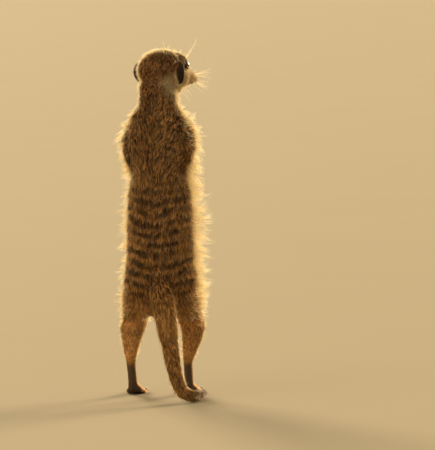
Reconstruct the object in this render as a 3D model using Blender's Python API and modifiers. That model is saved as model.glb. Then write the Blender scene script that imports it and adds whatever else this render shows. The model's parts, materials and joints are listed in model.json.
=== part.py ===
"""A meerkat standing upright on its hind legs and tail, as a still life-size model.

The animal faces +Y and its right side is +X. The floor is Z = 0 and the origin is on the floor,
under the middle of the whole body. Every solid reaches out to the tips of the coat.
"""
import math

import bmesh
import bpy
import numpy as np
from mathutils import Matrix, Vector

# Driving dimensions, in metres.
STANDING_HEIGHT = 0.325
GAP = 0.0003
FORM_VOXEL = 0.0011
FINE_FACES = 4800
COARSE_FACES = 1600

# The shapes below are drawn in units of a 325th of the standing height, so at life size a unit is 1 mm.
UNIT = STANDING_HEIGHT / 325

# Pose.
HEAD_TURN = math.radians(31)
HEAD_PLACE = (-1.0, 3.0, 303.0)
LEGS_MIDDLE = 1.6
RIGHT_FOOT_FORWARD = 13.0

# Planes that part the body, as heights above the floor.
HEAD_CUT = 284.0
HEAD_CUT_LEAN = math.radians(14)
NECK_CUT = 263.0
CHEST_CUT = 204.0
ABDOMEN_CUT = 138.0
KNEE_CUT = 67.0
HOCK_CUT = 36.0

SIDES = {"left": -1, "right": 1}
DIGITS = (-1.5, -0.5, 0.5, 1.5)

COAT = (0.46, 0.32, 0.19)
DARK_COAT = (0.30, 0.20, 0.12)
EAR = (0.035, 0.028, 0.024)
TAIL_TIP = (0.05, 0.035, 0.025)
PAW = (0.50, 0.36, 0.22)
NOSE = (0.09, 0.05, 0.04)
EYE = (0.035, 0.018, 0.010)


# ---------------------------------------------------------------- general tools

def clear_scene():
    for obj in list(bpy.data.objects):
        bpy.data.objects.remove(obj, do_unlink=True)


def new_collection(name):
    collection = bpy.data.collections.new(name)
    bpy.context.scene.collection.children.link(collection)
    return collection


def principled(name, colour, roughness):
    material = bpy.data.materials.new(name)
    material.use_nodes = True
    shader = material.node_tree.nodes["Principled BSDF"]
    shader.inputs["Base Color"].default_value = (*colour, 1.0)
    shader.inputs["Roughness"].default_value = roughness
    shader.inputs["Metallic"].default_value = 0.0
    return material


def add_object(name, mesh, collection):
    obj = bpy.data.objects.new(name, mesh)
    collection.objects.link(obj)
    return obj


def add_helper(name, form):
    """A cutter or guide from a bmesh, left out of the model."""
    mesh = bpy.data.meshes.new(name)
    bmesh.ops.recalc_face_normals(form, faces=form.faces)
    form.to_mesh(mesh)
    form.free()
    obj = add_object(name, mesh, cutters)
    obj.hide_render = True
    obj.display_type = "WIRE"
    return obj


def evaluated_mesh(obj):
    graph = bpy.context.evaluated_depsgraph_get()
    return bpy.data.meshes.new_from_object(obj.evaluated_get(graph))


def mirrored(stations, side, middle=0.0):
    """Stations drawn for the right side, laid on either side of the plane X = middle."""
    return [(middle + side * s[0], *s[1:]) for s in stations]


# ---------------------------------------------------------------- forms

def smooth_rows(rows, steps):
    """Points on a Catmull-Rom curve through the rows, with every column treated alike."""
    rows = np.array(rows, float)
    ends = np.vstack([2 * rows[0] - rows[1], rows, 2 * rows[-1] - rows[-2]])
    found = []
    for i in range(len(rows) - 1):
        a, b, c, d = ends[i:i + 4]
        for t in np.arange(steps) / steps:
            bend = (2 * a - 5 * b + 4 * c - d) * t ** 2 + (3 * b - a - 3 * c + d) * t ** 3
            found.append(0.5 * (2 * b + (c - a) * t + bend))
    found.append(rows[-1])
    return np.array(found)


def rounded_ends(rows, roundness, leans=(30, 58, 80)):
    """Rows of a loft with a quarter ellipse of shrinking rings added at each end."""
    def cap(end, inner):
        way = end[:3] - inner[:3]
        way = way / np.linalg.norm(way)
        reach = roundness * min(end[3:5])
        rings = []
        for lean in map(math.radians, leans):
            centre = end[:3] + way * reach * math.sin(lean)
            rings.append(np.concatenate([centre, end[3:5] * math.cos(lean)]))
        return rings
    return np.array(cap(rows[0], rows[1])[::-1] + list(rows) + cap(rows[-1], rows[-2]))


def loft(form, stations, steps=4, sides=20, roundness=0.8, leans=(30, 58, 80), grow=0.0, place=Matrix()):
    """A closed tube with elliptical sections. A station is x, y, z, then its two half widths:
    the first lies across the body (near X) and the second at right angles to it."""
    rows = smooth_rows(stations, steps)
    rows[:, 3:5] += grow
    rows = rounded_ends(rows, roundness, leans)
    tangents = np.gradient(rows[:, :3], axis=0)
    across = np.array((1.0, 0.0, 0.0))
    rings = []
    for row, tangent in zip(rows, tangents):
        tangent = tangent / np.linalg.norm(tangent)
        across = across - tangent * across.dot(tangent)
        across = across / np.linalg.norm(across)
        other = np.cross(tangent, across)
        ring = []
        for i in range(sides):
            turn = math.tau * i / sides
            spot = row[:3] + across * row[3] * math.cos(turn) + other * row[4] * math.sin(turn)
            ring.append(form.verts.new(place @ Vector(spot * UNIT)))
        rings.append(ring)
    for low, high in zip(rings, rings[1:]):
        for i in range(sides):
            j = (i + 1) % sides
            form.faces.new((low[i], low[j], high[j], high[i]))
    form.faces.new(rings[0][::-1])
    form.faces.new(rings[-1])
    return form


def ball(form, centre, radii, turn=Matrix(), place=Matrix(), segments=24):
    """An ellipsoid, turned about its own centre."""
    shape = Matrix.Diagonal((*(r * UNIT for r in radii), 1.0))
    where = place @ Matrix.Translation(Vector(centre) * UNIT) @ turn @ shape
    bmesh.ops.create_uvsphere(form, u_segments=segments, v_segments=segments // 2, radius=1, matrix=where)
    return form


def head_frame():
    return Matrix.Translation(Vector(HEAD_PLACE) * UNIT) @ Matrix.Rotation(-HEAD_TURN, 4, "Z")


# ---------------------------------------------------------------- stations of each part

TRUNK = (
    (2.2, -3, 87, 30, 27),
    (2.4, -2, 95, 40, 34),
    (2.6, 1, 108, 43.5, 38),
    (2.6, 4, 128, 42, 40.5),
    (2.5, 5, 150, 41.5, 41),
    (2.2, 4.5, 175, 40.5, 39),
    (1.4, 3, 200, 37.5, 35),
    (0.8, 2, 218, 36, 33),
    (0.4, 1, 235, 37, 31),
    (0.0, 0.5, 250, 34.5, 28.5),
    (0.0, 0.0, 261, 29, 25.5),
    (0.0, 0.5, 273, 21, 22),
    (-0.5, 1.5, 292, 19.5, 20),
)
UPPER_ARM = ((23, 10, 254, 12, 13), (30, 6, 240, 12.5, 14), (34, -1, 221, 9.2, 10.5))
FOREARM = ((33.5, -1, 220, 9.2, 10), (31.5, 20, 207, 8.8, 8.8), (20, 39, 193, 6.5, 6))
PALM = ((20, 39, 193, 6.2, 5.6), (17.5, 44, 184, 6, 4.6), (16, 47.5, 173, 6.8, 4.0))
THIGH = ((17, 0, 112, 22, 29), (24.5, 5, 96, 19.5, 26), (27.0, 13, 80, 16.8, 19), (27.6, 17, 68, 14.8, 15.5))
SHIN = (
    (27.6, 17, 70, 14.8, 15.5),
    (28.4, 9, 57, 12.2, 12.5),
    (27.6, 0, 46, 9.0, 9.4),
    (26.6, -7, 36, 6.2, 7),
)
METATARSUS = (
    (26.6, -7, 38, 6.2, 7),
    (26.0, -5, 25, 5.2, 5.4),
    (25.6, 0, 11, 6.0, 5.4),
    (25.4, 9, 5.2, 8.6, 4.8),
)
TAIL = (
    (4.0, -20, 112, 11.5, 11.5),
    (9.0, -33, 97, 11.0, 11.0),
    (13.5, -40, 79, 10.2, 10.2),
    (18.0, -46, 59, 9.3, 9.3),
    (22.0, -51, 40, 8.5, 8.5),
    (26.0, -55.5, 24, 7.8, 7.8),
    (31.5, -58.5, 12, 7.3, 7.3),
    (38.5, -57.5, 7.0, 6.9, 6.9),
    (44.0, -50.5, 6.2, 6.6, 6.6),
    (46.5, -41, 5.9, 6.3, 6.3),
    (46.5, -31, 5.3, 5.8, 5.8),
    (44.0, -22, 4.4, 4.8, 4.8),
)
MUZZLE = ((0, 16, 1, 17, 15), (0, 30, -1.5, 12.4, 12), (0, 41, -4.0, 9, 8.4), (0, 49.6, -6.0, 6.2, 5.6))
JAW = ((0, 6, -11, 13, 10), (0, 26, -11, 10, 7), (0, 42, -9.4, 5.8, 4))


def leg_offset(side):
    """How far forward this side's knee, hock and foot stand."""
    return RIGHT_FOOT_FORWARD if side > 0 else 0.0


def leg_stations(stations, side):
    """A leg's stations with the foot stepped forward, by more the nearer they are to the floor."""
    hip_height = 112
    moved = []
    for x, y, z, across, along in mirrored(stations, side, LEGS_MIDDLE):
        share = min(max((hip_height - z) / hip_height, 0.0), 1.0)
        moved.append((x, y + leg_offset(side) * share, z, across, along))
    return moved


def add_trunk(form):
    loft(form, TRUNK, sides=36, roundness=0.55)


def add_head(form):
    place = head_frame()
    ball(form, (0, 4.5, 2), (23.5, 25, 20.5), place=place, segments=36)
    ball(form, (0, 18, 7.5), (19.5, 15, 12.5), place=place, segments=32)
    for side in SIDES.values():
        ball(form, (side * 10.5, 12, -6), (12, 18, 11.5), place=place)
        ball(form, (side * 4.6, 43, -7.2), (5.6, 8.5, 5.0), place=place)
    loft(form, MUZZLE, place=place)
    loft(form, JAW, place=place)
    ball(form, (0, 16, -14.5), (13, 14, 9.5), place=place)


def add_limbs(form):
    for side in SIDES.values():
        loft(form, mirrored(UPPER_ARM, side))
        loft(form, mirrored(FOREARM, side))
        loft(form, mirrored(PALM, side), sides=16)
        loft(form, leg_stations(THIGH, side), sides=28)
        loft(form, leg_stations(SHIN, side))
        loft(form, leg_stations(METATARSUS, side), sides=16)


def whole_body():
    """One closed skin over every mass, smoothed where they run together."""
    form = bmesh.new()
    add_trunk(form)
    add_head(form)
    add_limbs(form)
    loft(form, TAIL, sides=20)
    body = add_helper("whole_body", form)
    remesh = body.modifiers.new("one_skin", "REMESH")
    remesh.mode = "VOXEL"
    remesh.voxel_size = FORM_VOXEL
    remesh.use_smooth_shade = True
    smooth = body.modifiers.new("soften", "SMOOTH")
    smooth.factor = 0.5
    smooth.iterations = 8
    return body


def thinned(body, name, faces):
    """A copy of the body's skin brought down to about this many triangles."""
    copy = add_object(name, evaluated_mesh(body), cutters)
    copy.hide_render = True
    copy.display_type = "WIRE"
    decimate = copy.modifiers.new("thin", "DECIMATE")
    triangles = sum(len(p.vertices) - 2 for p in copy.data.polygons)
    decimate.ratio = faces / triangles
    mesh = evaluated_mesh(copy)
    copy.modifiers.clear()
    copy.data = mesh
    return copy


# ---------------------------------------------------------------- cutters

def far_side(name, point, normal, gap=GAP):
    """A block that fills the side of a plane its normal points to, from half a gap before the plane."""
    reach = 0.4
    form = bmesh.new()
    way = Vector(normal).normalized()
    turn = way.to_track_quat("Z", "Y").to_matrix().to_4x4()
    start = Matrix.Translation(Vector(point) * UNIT - way * gap / 2)
    lift = Matrix.Translation((0, 0, reach / 2))
    bmesh.ops.create_cube(form, size=reach, matrix=start @ turn @ lift)
    return add_helper(name, form)


def both_sides(name, point, normal):
    """The two blocks that part the body at a plane: the one the normal points to, and the other."""
    away = far_side(name + "_beyond", point, normal)
    near = far_side(name + "_before", point, -Vector(normal))
    return away, near


def loft_pair(name, stations, margin, steps, sides):
    """A cutter round a limb, and the same one grown by the gap to cut its bed."""
    finish = {"steps": steps, "sides": sides, "leans": (50,)}
    keep = add_helper(name, loft(bmesh.new(), stations, grow=margin, **finish))
    bed = add_helper(name + "_bed", loft(bmesh.new(), stations, grow=margin + GAP / UNIT, **finish))
    return keep, bed


def ball_pair(name, centre, radii, turn=Matrix(), segments=12):
    place = head_frame()
    keep = add_helper(name, ball(bmesh.new(), centre, radii, turn, place, segments))
    wider = tuple(r + GAP / UNIT for r in radii)
    bed = add_helper(name + "_bed", ball(bmesh.new(), centre, wider, turn, place, segments))
    return keep, bed


def digits(name, routes):
    """Toes with their claws, each one loft from the foot to the claw's tip."""
    form = bmesh.new()
    for route in routes:
        loft(form, route, steps=1, sides=6, roundness=0.6, leans=(55,))
    return add_helper(name, form)


def front_digits(side):
    """Four digits that hang down from the palm, with long curved claws."""
    routes = []
    for spread in DIGITS:
        x = side * 16 + spread * 2.9
        shorter = abs(spread) * 1.2
        routes.append((
            (side * 16.6 + spread * 2.4, 46.5, 177, 2.4, 2.2),
            (x, 48.6, 169 + shorter, 2.6, 2.3),
            (x, 49.6, 162 + shorter, 2.3, 2.2),
            (x, 49.6, 158.6 + shorter, 1.2, 1.2),
            (x, 48.4, 153.5 + shorter, 0.9, 1.0),
            (x, 45.8, 149.5 + shorter, 0.35, 0.4),
        ))
    return digits(f"front_digits_{'right' if side > 0 else 'left'}", routes)


def hind_digits(side):
    """Four toes flat on the floor, with short claws."""
    routes = []
    middle, forward = LEGS_MIDDLE + side * 25.4, leg_offset(side)
    for spread in DIGITS:
        shorter = abs(spread) * 1.6
        foot = middle + spread * 3.6
        tip = middle + spread * 5.2
        routes.append((
            (foot, forward + 6, 5.0, 2.9, 3.2),
            (tip, forward + 17 - shorter, 3.2, 3.2, 3.2),
            (tip, forward + 25 - shorter, 2.0, 2.9, 2.7),
            (tip, forward + 28.6 - shorter, 2.8, 1.2, 1.2),
            (tip, forward + 35 - shorter, 1.0, 0.35, 0.4),
        ))
    return digits(f"hind_digits_{'right' if side > 0 else 'left'}", routes)


# ---------------------------------------------------------------- nodes

def boolean(obj, operation, other, use_self=False):
    modifier = obj.modifiers.new(f"{operation.lower()}_{other.name}", "BOOLEAN")
    modifier.operation = operation
    modifier.object = other
    modifier.solver = "EXACT"
    modifier.use_self = use_self


def largest_piece(mesh):
    """Drops the crumbs a cut leaves, and keeps the largest closed piece."""
    form = bmesh.new()
    form.from_mesh(mesh)
    bmesh.ops.triangulate(form, faces=form.faces)
    bmesh.ops.dissolve_degenerate(form, edges=form.edges, dist=GAP / 60)
    form.verts.ensure_lookup_table()
    left = set(form.verts)
    pieces = []
    while left:
        piece, edge = set(), [left.pop()]
        while edge:
            vert = edge.pop()
            piece.add(vert)
            for link in vert.link_edges:
                other = link.other_vert(vert)
                if other in left:
                    left.remove(other)
                    edge.append(other)
        pieces.append(piece)
    pieces.sort(key=len)
    crumbs = [vert for piece in pieces[:-1] for vert in piece]
    bmesh.ops.delete(form, geom=crumbs, context="VERTS")
    form.to_mesh(mesh)
    form.free()


def node(name, source, colour, roughness, keep=(), cut=(), join=()):
    """One named solid: its share of the source skin, with its own material."""
    obj = add_object(name, source.data.copy(), parts)
    for other in keep:
        boolean(obj, "INTERSECT", other)
    for other in cut:
        boolean(obj, "DIFFERENCE", other)
    for other in join:
        boolean(obj, "UNION", other, use_self=True)
    boolean(obj, "DIFFERENCE", floor)
    mesh = evaluated_mesh(obj)
    obj.modifiers.clear()
    obj.data = mesh
    largest_piece(mesh)
    mesh.materials.clear()
    mesh.materials.append(principled(name, colour, roughness))
    mesh.shade_smooth()
    mesh.set_sharp_from_angle(angle=math.radians(40))
    return obj


def build_head(fine, head_plane):
    """The head with its beds for ears, eyes and nose, and those pieces."""
    beds = [head_plane[1]]
    for word, side in SIDES.items():
        flare = Matrix.Rotation(side * math.radians(-18), 4, "Z") @ Matrix.Rotation(math.radians(-12), 4, "X")
        ear, ear_bed = ball_pair(f"ear_form_{word}", (side * 26.0, 2.2, -0.5), (4.8, 8.2, 10.8), flare)
        cup, _ = ball_pair(f"ear_cup_{word}", (side * 29.4, 3.9, -0.8), (4.2, 6.6, 8.6), flare)
        node(f"ear_{word}", ear, EAR, 0.75, cut=[cup])
        eye, eye_bed = ball_pair(f"eye_form_{word}", (side * 13.3, 25.2, 6.3), (4.8, 4.8, 4.8))
        node(f"eye_{word}", eye, EYE, 0.12)
        beds += [ear_bed, eye_bed]
    nose, nose_bed = ball_pair("nose_form", (0, 53.0, -4.8), (3.6, 2.6, 2.9))
    node("nose", nose, NOSE, 0.4)
    node("head", fine, COAT, 0.85, cut=[*beds, nose_bed])


def build_arms(coarse):
    """Upper arm, forearm and paw of each side. Returns the beds they leave in the trunk."""
    beds = []
    for word, side in SIDES.items():
        upper, upper_bed = loft_pair(f"upper_arm_form_{word}", mirrored(UPPER_ARM, side), 1.2, 3, 10)
        front, front_bed = loft_pair(f"forearm_form_{word}", mirrored(FOREARM + PALM[1:], side), 0.8, 2, 10)
        wrist = both_sides(f"wrist_{word}", (side * 19, 39.5, 191), (side * -0.12, 0.45, -1))
        node(f"upper_arm_{word}", coarse, COAT, 0.85, keep=[upper], cut=[front_bed])
        node(f"forearm_{word}", coarse, COAT, 0.85, keep=[front], cut=[wrist[0]])
        node(f"front_paw_{word}", coarse, PAW, 0.8, keep=[front], cut=[wrist[1]], join=[front_digits(side)])
        beds += [upper_bed, front_bed]
    return beds


def build_legs(coarse, tail_bed):
    """Thigh, shin and hind foot of each side. Returns the blocks that cut them from the rump."""
    blocks = []
    for word, side in SIDES.items():
        ahead = leg_offset(side)
        groin = both_sides(f"groin_{word}", (LEGS_MIDDLE + side * 5, 0, 76), (side * 46, 0, -37))
        middle = far_side(f"middle_{word}", (LEGS_MIDDLE, 0, 0), (-side, 0, 0))
        knee = both_sides(f"knee_{word}", (0, 0, KNEE_CUT), (0, 0, -1))
        hock = both_sides(f"hock_{word}", (0, ahead * 0.7 - 7, HOCK_CUT), (0, 0.15, -1))
        outer = [groin[1], middle, tail_bed]
        node(f"thigh_{word}", coarse, COAT, 0.85, cut=[*outer, knee[0]])
        node(f"shin_{word}", coarse, PAW, 0.85, cut=[*outer, knee[1], hock[0]])
        node(f"hind_foot_{word}", coarse, PAW, 0.8, cut=[*outer, hock[1]], join=[hind_digits(side)])
        blocks.append(groin[0])
    return blocks


def build_tail(coarse):
    """The tail in three lengths. Returns the bed it leaves in the rump."""
    tail, tail_bed = loft_pair("tail_form", TAIL, 1.2, 3, 12)
    upper = both_sides("tail_upper", (17.0, -45, 61), (4, -6, -22))
    lower = both_sides("tail_lower", (38.5, -57.5, 7), (1, 0.5, 0))
    node("tail_base", coarse, COAT, 0.85, keep=[tail], cut=[upper[0]])
    node("tail_middle", coarse, DARK_COAT, 0.85, keep=[tail], cut=[upper[1], lower[0]])
    node("tail_tip", coarse, TAIL_TIP, 0.85, keep=[tail], cut=[upper[1], lower[1]])
    return tail_bed


def build_trunk(coarse, head_plane, beds, leg_blocks, tail_bed):
    """Neck, chest, abdomen and rump, parted by level planes."""
    throat = both_sides("throat", (0, 0, NECK_CUT), (0, 0, 1))
    ribs = both_sides("ribs", (0, 0, CHEST_CUT), (0, 0, 1))
    loins = both_sides("loins", (0, 0, ABDOMEN_CUT), (0, 0, 1))
    node("neck", coarse, COAT, 0.85, cut=[head_plane[0], throat[1], *beds])
    node("chest", coarse, COAT, 0.85, cut=[throat[0], ribs[1], *beds])
    node("abdomen", coarse, COAT, 0.85, cut=[ribs[0], loins[1], *beds])
    node("rump", coarse, COAT, 0.85, cut=[loins[0], *leg_blocks, tail_bed])


def centre_on_floor():
    """Moves every shape so that the origin is on the floor under the middle of the body."""
    corners = [Vector(v.co) for obj in parts.objects for v in obj.data.vertices]
    low = [min(c[i] for c in corners) for i in range(3)]
    high = [max(c[i] for c in corners) for i in range(3)]
    shift = Matrix.Translation((-(low[0] + high[0]) / 2, -(low[1] + high[1]) / 2, -low[2]))
    for obj in (*parts.objects, *cutters.objects):
        obj.data.transform(shift)


clear_scene()
parts = new_collection("meerkat")
cutters = new_collection("cutters")
body = whole_body()
fine_skin = thinned(body, "fine_skin", FINE_FACES)
coarse_skin = thinned(body, "coarse_skin", COARSE_FACES)
floor = far_side("floor", (0, 0, 0), (0, 0, -1), gap=0.0)
nape_way = head_frame().to_3x3() @ Vector((0, math.sin(HEAD_CUT_LEAN), math.cos(HEAD_CUT_LEAN)))
chin_to_nape = both_sides("nape", (*HEAD_PLACE[:2], HEAD_CUT), nape_way)
build_head(fine_skin, chin_to_nape)
tail_space = build_tail(coarse_skin)
groin_blocks = build_legs(coarse_skin, tail_space)
arm_beds = build_arms(coarse_skin)
build_trunk(coarse_skin, chin_to_nape, arm_beds, groin_blocks, tail_space)
centre_on_floor()
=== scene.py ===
"""The looks of a life-size standing meerkat: one skin over the CAD frame, coat, eyes, claws and whiskers.

Arrays of places are in millimetres. Meshes are in metres, as the CAD frame is. The animal faces +Y and
its right side is +X. "Head places" are measured from the middle between the ears, forward along the head.
"""
import json
import math

import bmesh
import bpy
import numpy as np
from mathutils import Matrix, Vector
from mathutils.bvhtree import BVHTree
from mathutils.kdtree import KDTree

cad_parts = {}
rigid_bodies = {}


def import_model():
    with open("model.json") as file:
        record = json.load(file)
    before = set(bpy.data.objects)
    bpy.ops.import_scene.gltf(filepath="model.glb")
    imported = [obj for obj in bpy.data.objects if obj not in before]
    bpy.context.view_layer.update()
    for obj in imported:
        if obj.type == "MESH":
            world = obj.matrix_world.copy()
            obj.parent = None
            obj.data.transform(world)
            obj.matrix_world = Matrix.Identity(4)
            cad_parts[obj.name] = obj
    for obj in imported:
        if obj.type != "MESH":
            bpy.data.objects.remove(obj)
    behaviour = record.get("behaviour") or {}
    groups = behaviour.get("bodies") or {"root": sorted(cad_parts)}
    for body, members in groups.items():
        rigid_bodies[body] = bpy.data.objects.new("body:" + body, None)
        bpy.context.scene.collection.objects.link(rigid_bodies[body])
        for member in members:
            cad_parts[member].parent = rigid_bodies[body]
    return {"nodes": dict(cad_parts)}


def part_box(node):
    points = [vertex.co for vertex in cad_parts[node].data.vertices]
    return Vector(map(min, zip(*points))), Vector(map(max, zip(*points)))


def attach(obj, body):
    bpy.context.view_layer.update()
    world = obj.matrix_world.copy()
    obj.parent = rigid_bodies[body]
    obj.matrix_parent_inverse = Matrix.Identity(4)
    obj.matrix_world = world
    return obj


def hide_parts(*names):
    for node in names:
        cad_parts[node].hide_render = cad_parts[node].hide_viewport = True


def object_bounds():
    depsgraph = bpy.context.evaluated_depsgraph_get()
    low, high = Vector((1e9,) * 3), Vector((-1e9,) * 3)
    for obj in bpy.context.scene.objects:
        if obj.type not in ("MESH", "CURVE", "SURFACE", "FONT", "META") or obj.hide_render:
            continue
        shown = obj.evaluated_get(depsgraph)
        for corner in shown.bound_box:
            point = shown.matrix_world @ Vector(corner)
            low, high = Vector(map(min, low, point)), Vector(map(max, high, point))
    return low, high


for startup in list(bpy.data.objects):
    bpy.data.objects.remove(startup)
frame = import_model()
cad_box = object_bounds()

MM = 0.001
# The voxels of the two remeshes, and how far each CAD node grows to close the cuts, in millimetres.
FIRST_VOXEL = 0.9
SKIN_VOXEL = 0.62
CUT_CLOSING = 0.5
# The share of the skin's faces kept under the long coat, and of the tufts that are made.
BODY_KEPT = 0.115
COAT_SHARE = 0.88
UP = np.array((0.0, 0.0, 1.0))
SIDES = {"left": -1, "right": 1}
rng = np.random.default_rng(2026)


# ------------------------------------------------------------------ number tools

def smooth(low, high, value):
    share = np.clip((value - low) / (high - low), 0.0, 1.0)
    return share * share * (3 - 2 * share)


def unit(vectors):
    return vectors / np.maximum(np.linalg.norm(vectors, axis=-1, keepdims=True), 1e-9)


def dot(a, b):
    return (a * b).sum(-1, keepdims=True)


def lattice_value(cells, seed):
    """A random number from 0 to 1 for each whole-numbered cell."""
    mixed = cells[:, 0] * 374761393 + cells[:, 1] * 668265263 + cells[:, 2] * 2147483647 + seed * 974634777
    mixed = (mixed ^ (mixed >> 13)) * 1274126177
    mixed = mixed ^ (mixed >> 16)
    return (mixed & 0xFFFFF) / float(0xFFFFF)


def drift(places, size, seed):
    """Smooth random values from -1 to 1 over space, with lumps about this size across."""
    spots = places / size
    cell = np.floor(spots).astype(np.int64)
    part = spots - cell
    part = part * part * (3 - 2 * part)
    total = np.zeros(len(places))
    for corner in np.ndindex(2, 2, 2):
        weight = np.prod(np.where(corner, part, 1 - part), axis=1)
        total += weight * lattice_value(cell + corner, seed)
    return total * 2 - 1


def lump(spots, centre, radii):
    """1 at the centre of an ellipsoid, falling smoothly to nothing a little outside it."""
    away = ((spots - np.array(centre)) / np.array(radii)) ** 2
    return np.exp(-away.sum(-1))


def middle_of(*nodes):
    corners = [np.array(corner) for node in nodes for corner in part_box(node)]
    return np.mean(corners, axis=0) / MM


# ------------------------------------------------------------------ where the head and body are

ears_middle = middle_of("ear_left", "ear_right")
head_forward = middle_of("nose") - ears_middle
head_forward[2] = 0.0
head_forward = unit(head_forward)
head_right = np.cross(head_forward, UP)
HEAD_AXES = np.array((head_right, head_forward, UP))

TRUNK_LEVELS = [middle_of(name) for name in ("rump", "abdomen", "chest", "neck")]
TRUNK_LEVELS = np.array([TRUNK_LEVELS[0] - 40 * UP, *TRUNK_LEVELS])


def to_head(places):
    return (places - ears_middle) @ HEAD_AXES.T


def from_head(spots):
    return np.asarray(spots, float) @ HEAD_AXES + ears_middle


def trunk_middle(height):
    across = np.interp(height, TRUNK_LEVELS[:, 2], TRUNK_LEVELS[:, 0])
    along = np.interp(height, TRUNK_LEVELS[:, 2], TRUNK_LEVELS[:, 1])
    return across, along


def turn_from_spine(places):
    """The angle round the trunk: 0 at the spine, up to pi at the belly, negative on the left."""
    across, along = trunk_middle(places[:, 2])
    return np.arctan2(places[:, 0] - across, along - places[:, 1])


# ------------------------------------------------------------------ mesh tools

def read_rows(items, field, width, kind=np.float32):
    """A row of numbers for each vertex, edge or triangle of a mesh."""
    flat = np.empty(len(items) * width, kind)
    items.foreach_get(field, flat)
    return flat.reshape(-1, width)


def places_of(mesh):
    return read_rows(mesh.vertices, "co", 3).astype(float) / MM


def put_places(mesh, places):
    mesh.vertices.foreach_set("co", (places * MM).astype(np.float32).ravel())
    mesh.update()


def normals_of(mesh):
    return read_rows(mesh.vertices, "normal", 3).astype(float)


def edges_of(mesh):
    return read_rows(mesh.edges, "vertices", 2, np.int32)


def triangles_of(mesh):
    mesh.calc_loop_triangles()
    return read_rows(mesh.loop_triangles, "vertices", 3, np.int32)


def add_object(name, data):
    obj = bpy.data.objects.new(name, data)
    bpy.context.scene.collection.objects.link(obj)
    return obj


def object_from(form, name):
    """A new object with this bmesh's shape."""
    mesh = bpy.data.meshes.new(name)
    form.to_mesh(mesh)
    form.free()
    return add_object(name, mesh)


def select_only(*objects):
    bpy.ops.object.select_all(action="DESELECT")
    for obj in objects:
        obj.select_set(True)
    bpy.context.view_layer.objects.active = objects[0]


def apply_modifier(obj, kind, **settings):
    modifier = obj.modifiers.new(kind.lower(), kind)
    for key, value in settings.items():
        setattr(modifier, key, value)
    select_only(obj)
    bpy.ops.object.modifier_apply(modifier=modifier.name)


def set_values(mesh, name, kind, values):
    """Stores one value for each vertex, for the materials to read."""
    field = {"FLOAT": "value", "FLOAT_VECTOR": "vector", "FLOAT_COLOR": "color"}[kind]
    attribute = mesh.attributes.get(name) or mesh.attributes.new(name, kind, "POINT")
    attribute.data.foreach_set(field, np.asarray(values, np.float32).ravel())


class Evener:
    """Averages values over a mesh's neighbouring vertices."""

    def __init__(self, mesh):
        edges = edges_of(mesh)
        self.one = np.concatenate((edges[:, 0], edges[:, 1]))
        self.other = np.concatenate((edges[:, 1], edges[:, 0]))
        self.count = len(mesh.vertices)
        self.links = np.maximum(np.bincount(self.one, minlength=self.count), 1)

    def average(self, column):
        return np.bincount(self.one, column[self.other], self.count) / self.links

    def even(self, values, rounds, strength=0.5):
        values = np.array(values, float)
        flat = values.reshape(len(values), -1)
        for _ in range(rounds):
            for i in range(flat.shape[1]):
                flat[:, i] += strength * (self.average(flat[:, i]) - flat[:, i])
        return flat.reshape(values.shape)


def tube(mesh_verts, mesh_faces, line, radii, sides):
    """Adds a tapering tube, closed at both ends, up a line of points."""
    line = np.array(line, float)
    tangents = unit(np.gradient(line, axis=0))
    first = unit(np.cross(tangents, np.array((0.2, 0.4, 0.9))))
    second = np.cross(tangents, first)
    start = len(mesh_verts)
    for k, radius in enumerate(radii):
        for i in range(sides):
            angle = math.tau * i / sides
            mesh_verts.append(line[k] + radius * (first[k] * math.cos(angle) + second[k] * math.sin(angle)))
    for k in range(len(radii) - 1):
        for i in range(sides):
            j = (i + 1) % sides
            low, high = start + k * sides, start + (k + 1) * sides
            mesh_faces.append((low + i, low + j, high + j, high + i))
    mesh_faces.append(tuple(range(start + sides - 1, start - 1, -1)))
    last = start + (len(radii) - 1) * sides
    mesh_faces.append(tuple(range(last, last + sides)))


def tube_object(name, rows, sides):
    verts, faces = [], []
    for line, radii in rows:
        tube(verts, faces, line, radii, sides)
    mesh = bpy.data.meshes.new(name)
    mesh.from_pydata([tuple(v * MM) for v in verts], [], faces)
    form = bmesh.new()
    form.from_mesh(mesh)
    bmesh.ops.recalc_face_normals(form, faces=form.faces)
    form.to_mesh(mesh)
    form.free()
    mesh.shade_smooth()
    return add_object(name, mesh)


# ------------------------------------------------------------------ the skin's rough shape

def add_pinna(side):
    """The shell of one ear: a crescent whose back faces rearward and whose hollow faces forward."""
    share = np.linspace(0.0, 1.0, 40)
    arch = np.sin(math.pi * np.clip(share, 0.02, 0.98))
    lean = np.cos(math.pi * share)
    root = np.stack((18.0 + 0 * share, 2.8 - 5.2 * arch, 0.2 + 7.6 * lean), 1)
    rim = np.stack((21.0 + 9.8 * arch ** 0.9, 4.8 - 5.2 * arch, 0.2 + 10.4 * lean), 1)
    form = bmesh.new()
    grid = []
    for reach in np.linspace(0.0, 1.0, 14):
        spots = root + (rim - root) * reach
        spots[:, 1] -= 1.5 * math.sin(math.pi * reach) * arch
        spots[:, 1] += 0.9 * smooth(0.75, 1.0, reach) * arch
        spots[:, 0] *= side
        grid.append([form.verts.new(spot * MM) for spot in from_head(spots)])
    for low, high in zip(grid, grid[1:]):
        for i in range(len(low) - 1):
            form.faces.new((low[i], low[i + 1], high[i + 1], high[i])[::side])
    pinna = object_from(form, "pinna")
    apply_modifier(pinna, "SOLIDIFY", thickness=1.6 * MM, offset=0.0)
    tragus = [(20.6, 6.6, -6.0), (22.4, 6.9, -4.0), (23.0, 7.0, -1.6), (22.2, 6.8, 0.6), (20.4, 6.6, 2.6)]
    route = from_head([(x * side, y, z) for x, y, z in tragus])
    bump = tube_object("tragus", [(route, (0.8, 1.4, 1.6, 1.3, 0.8))], 12)
    return [pinna, bump]


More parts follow.
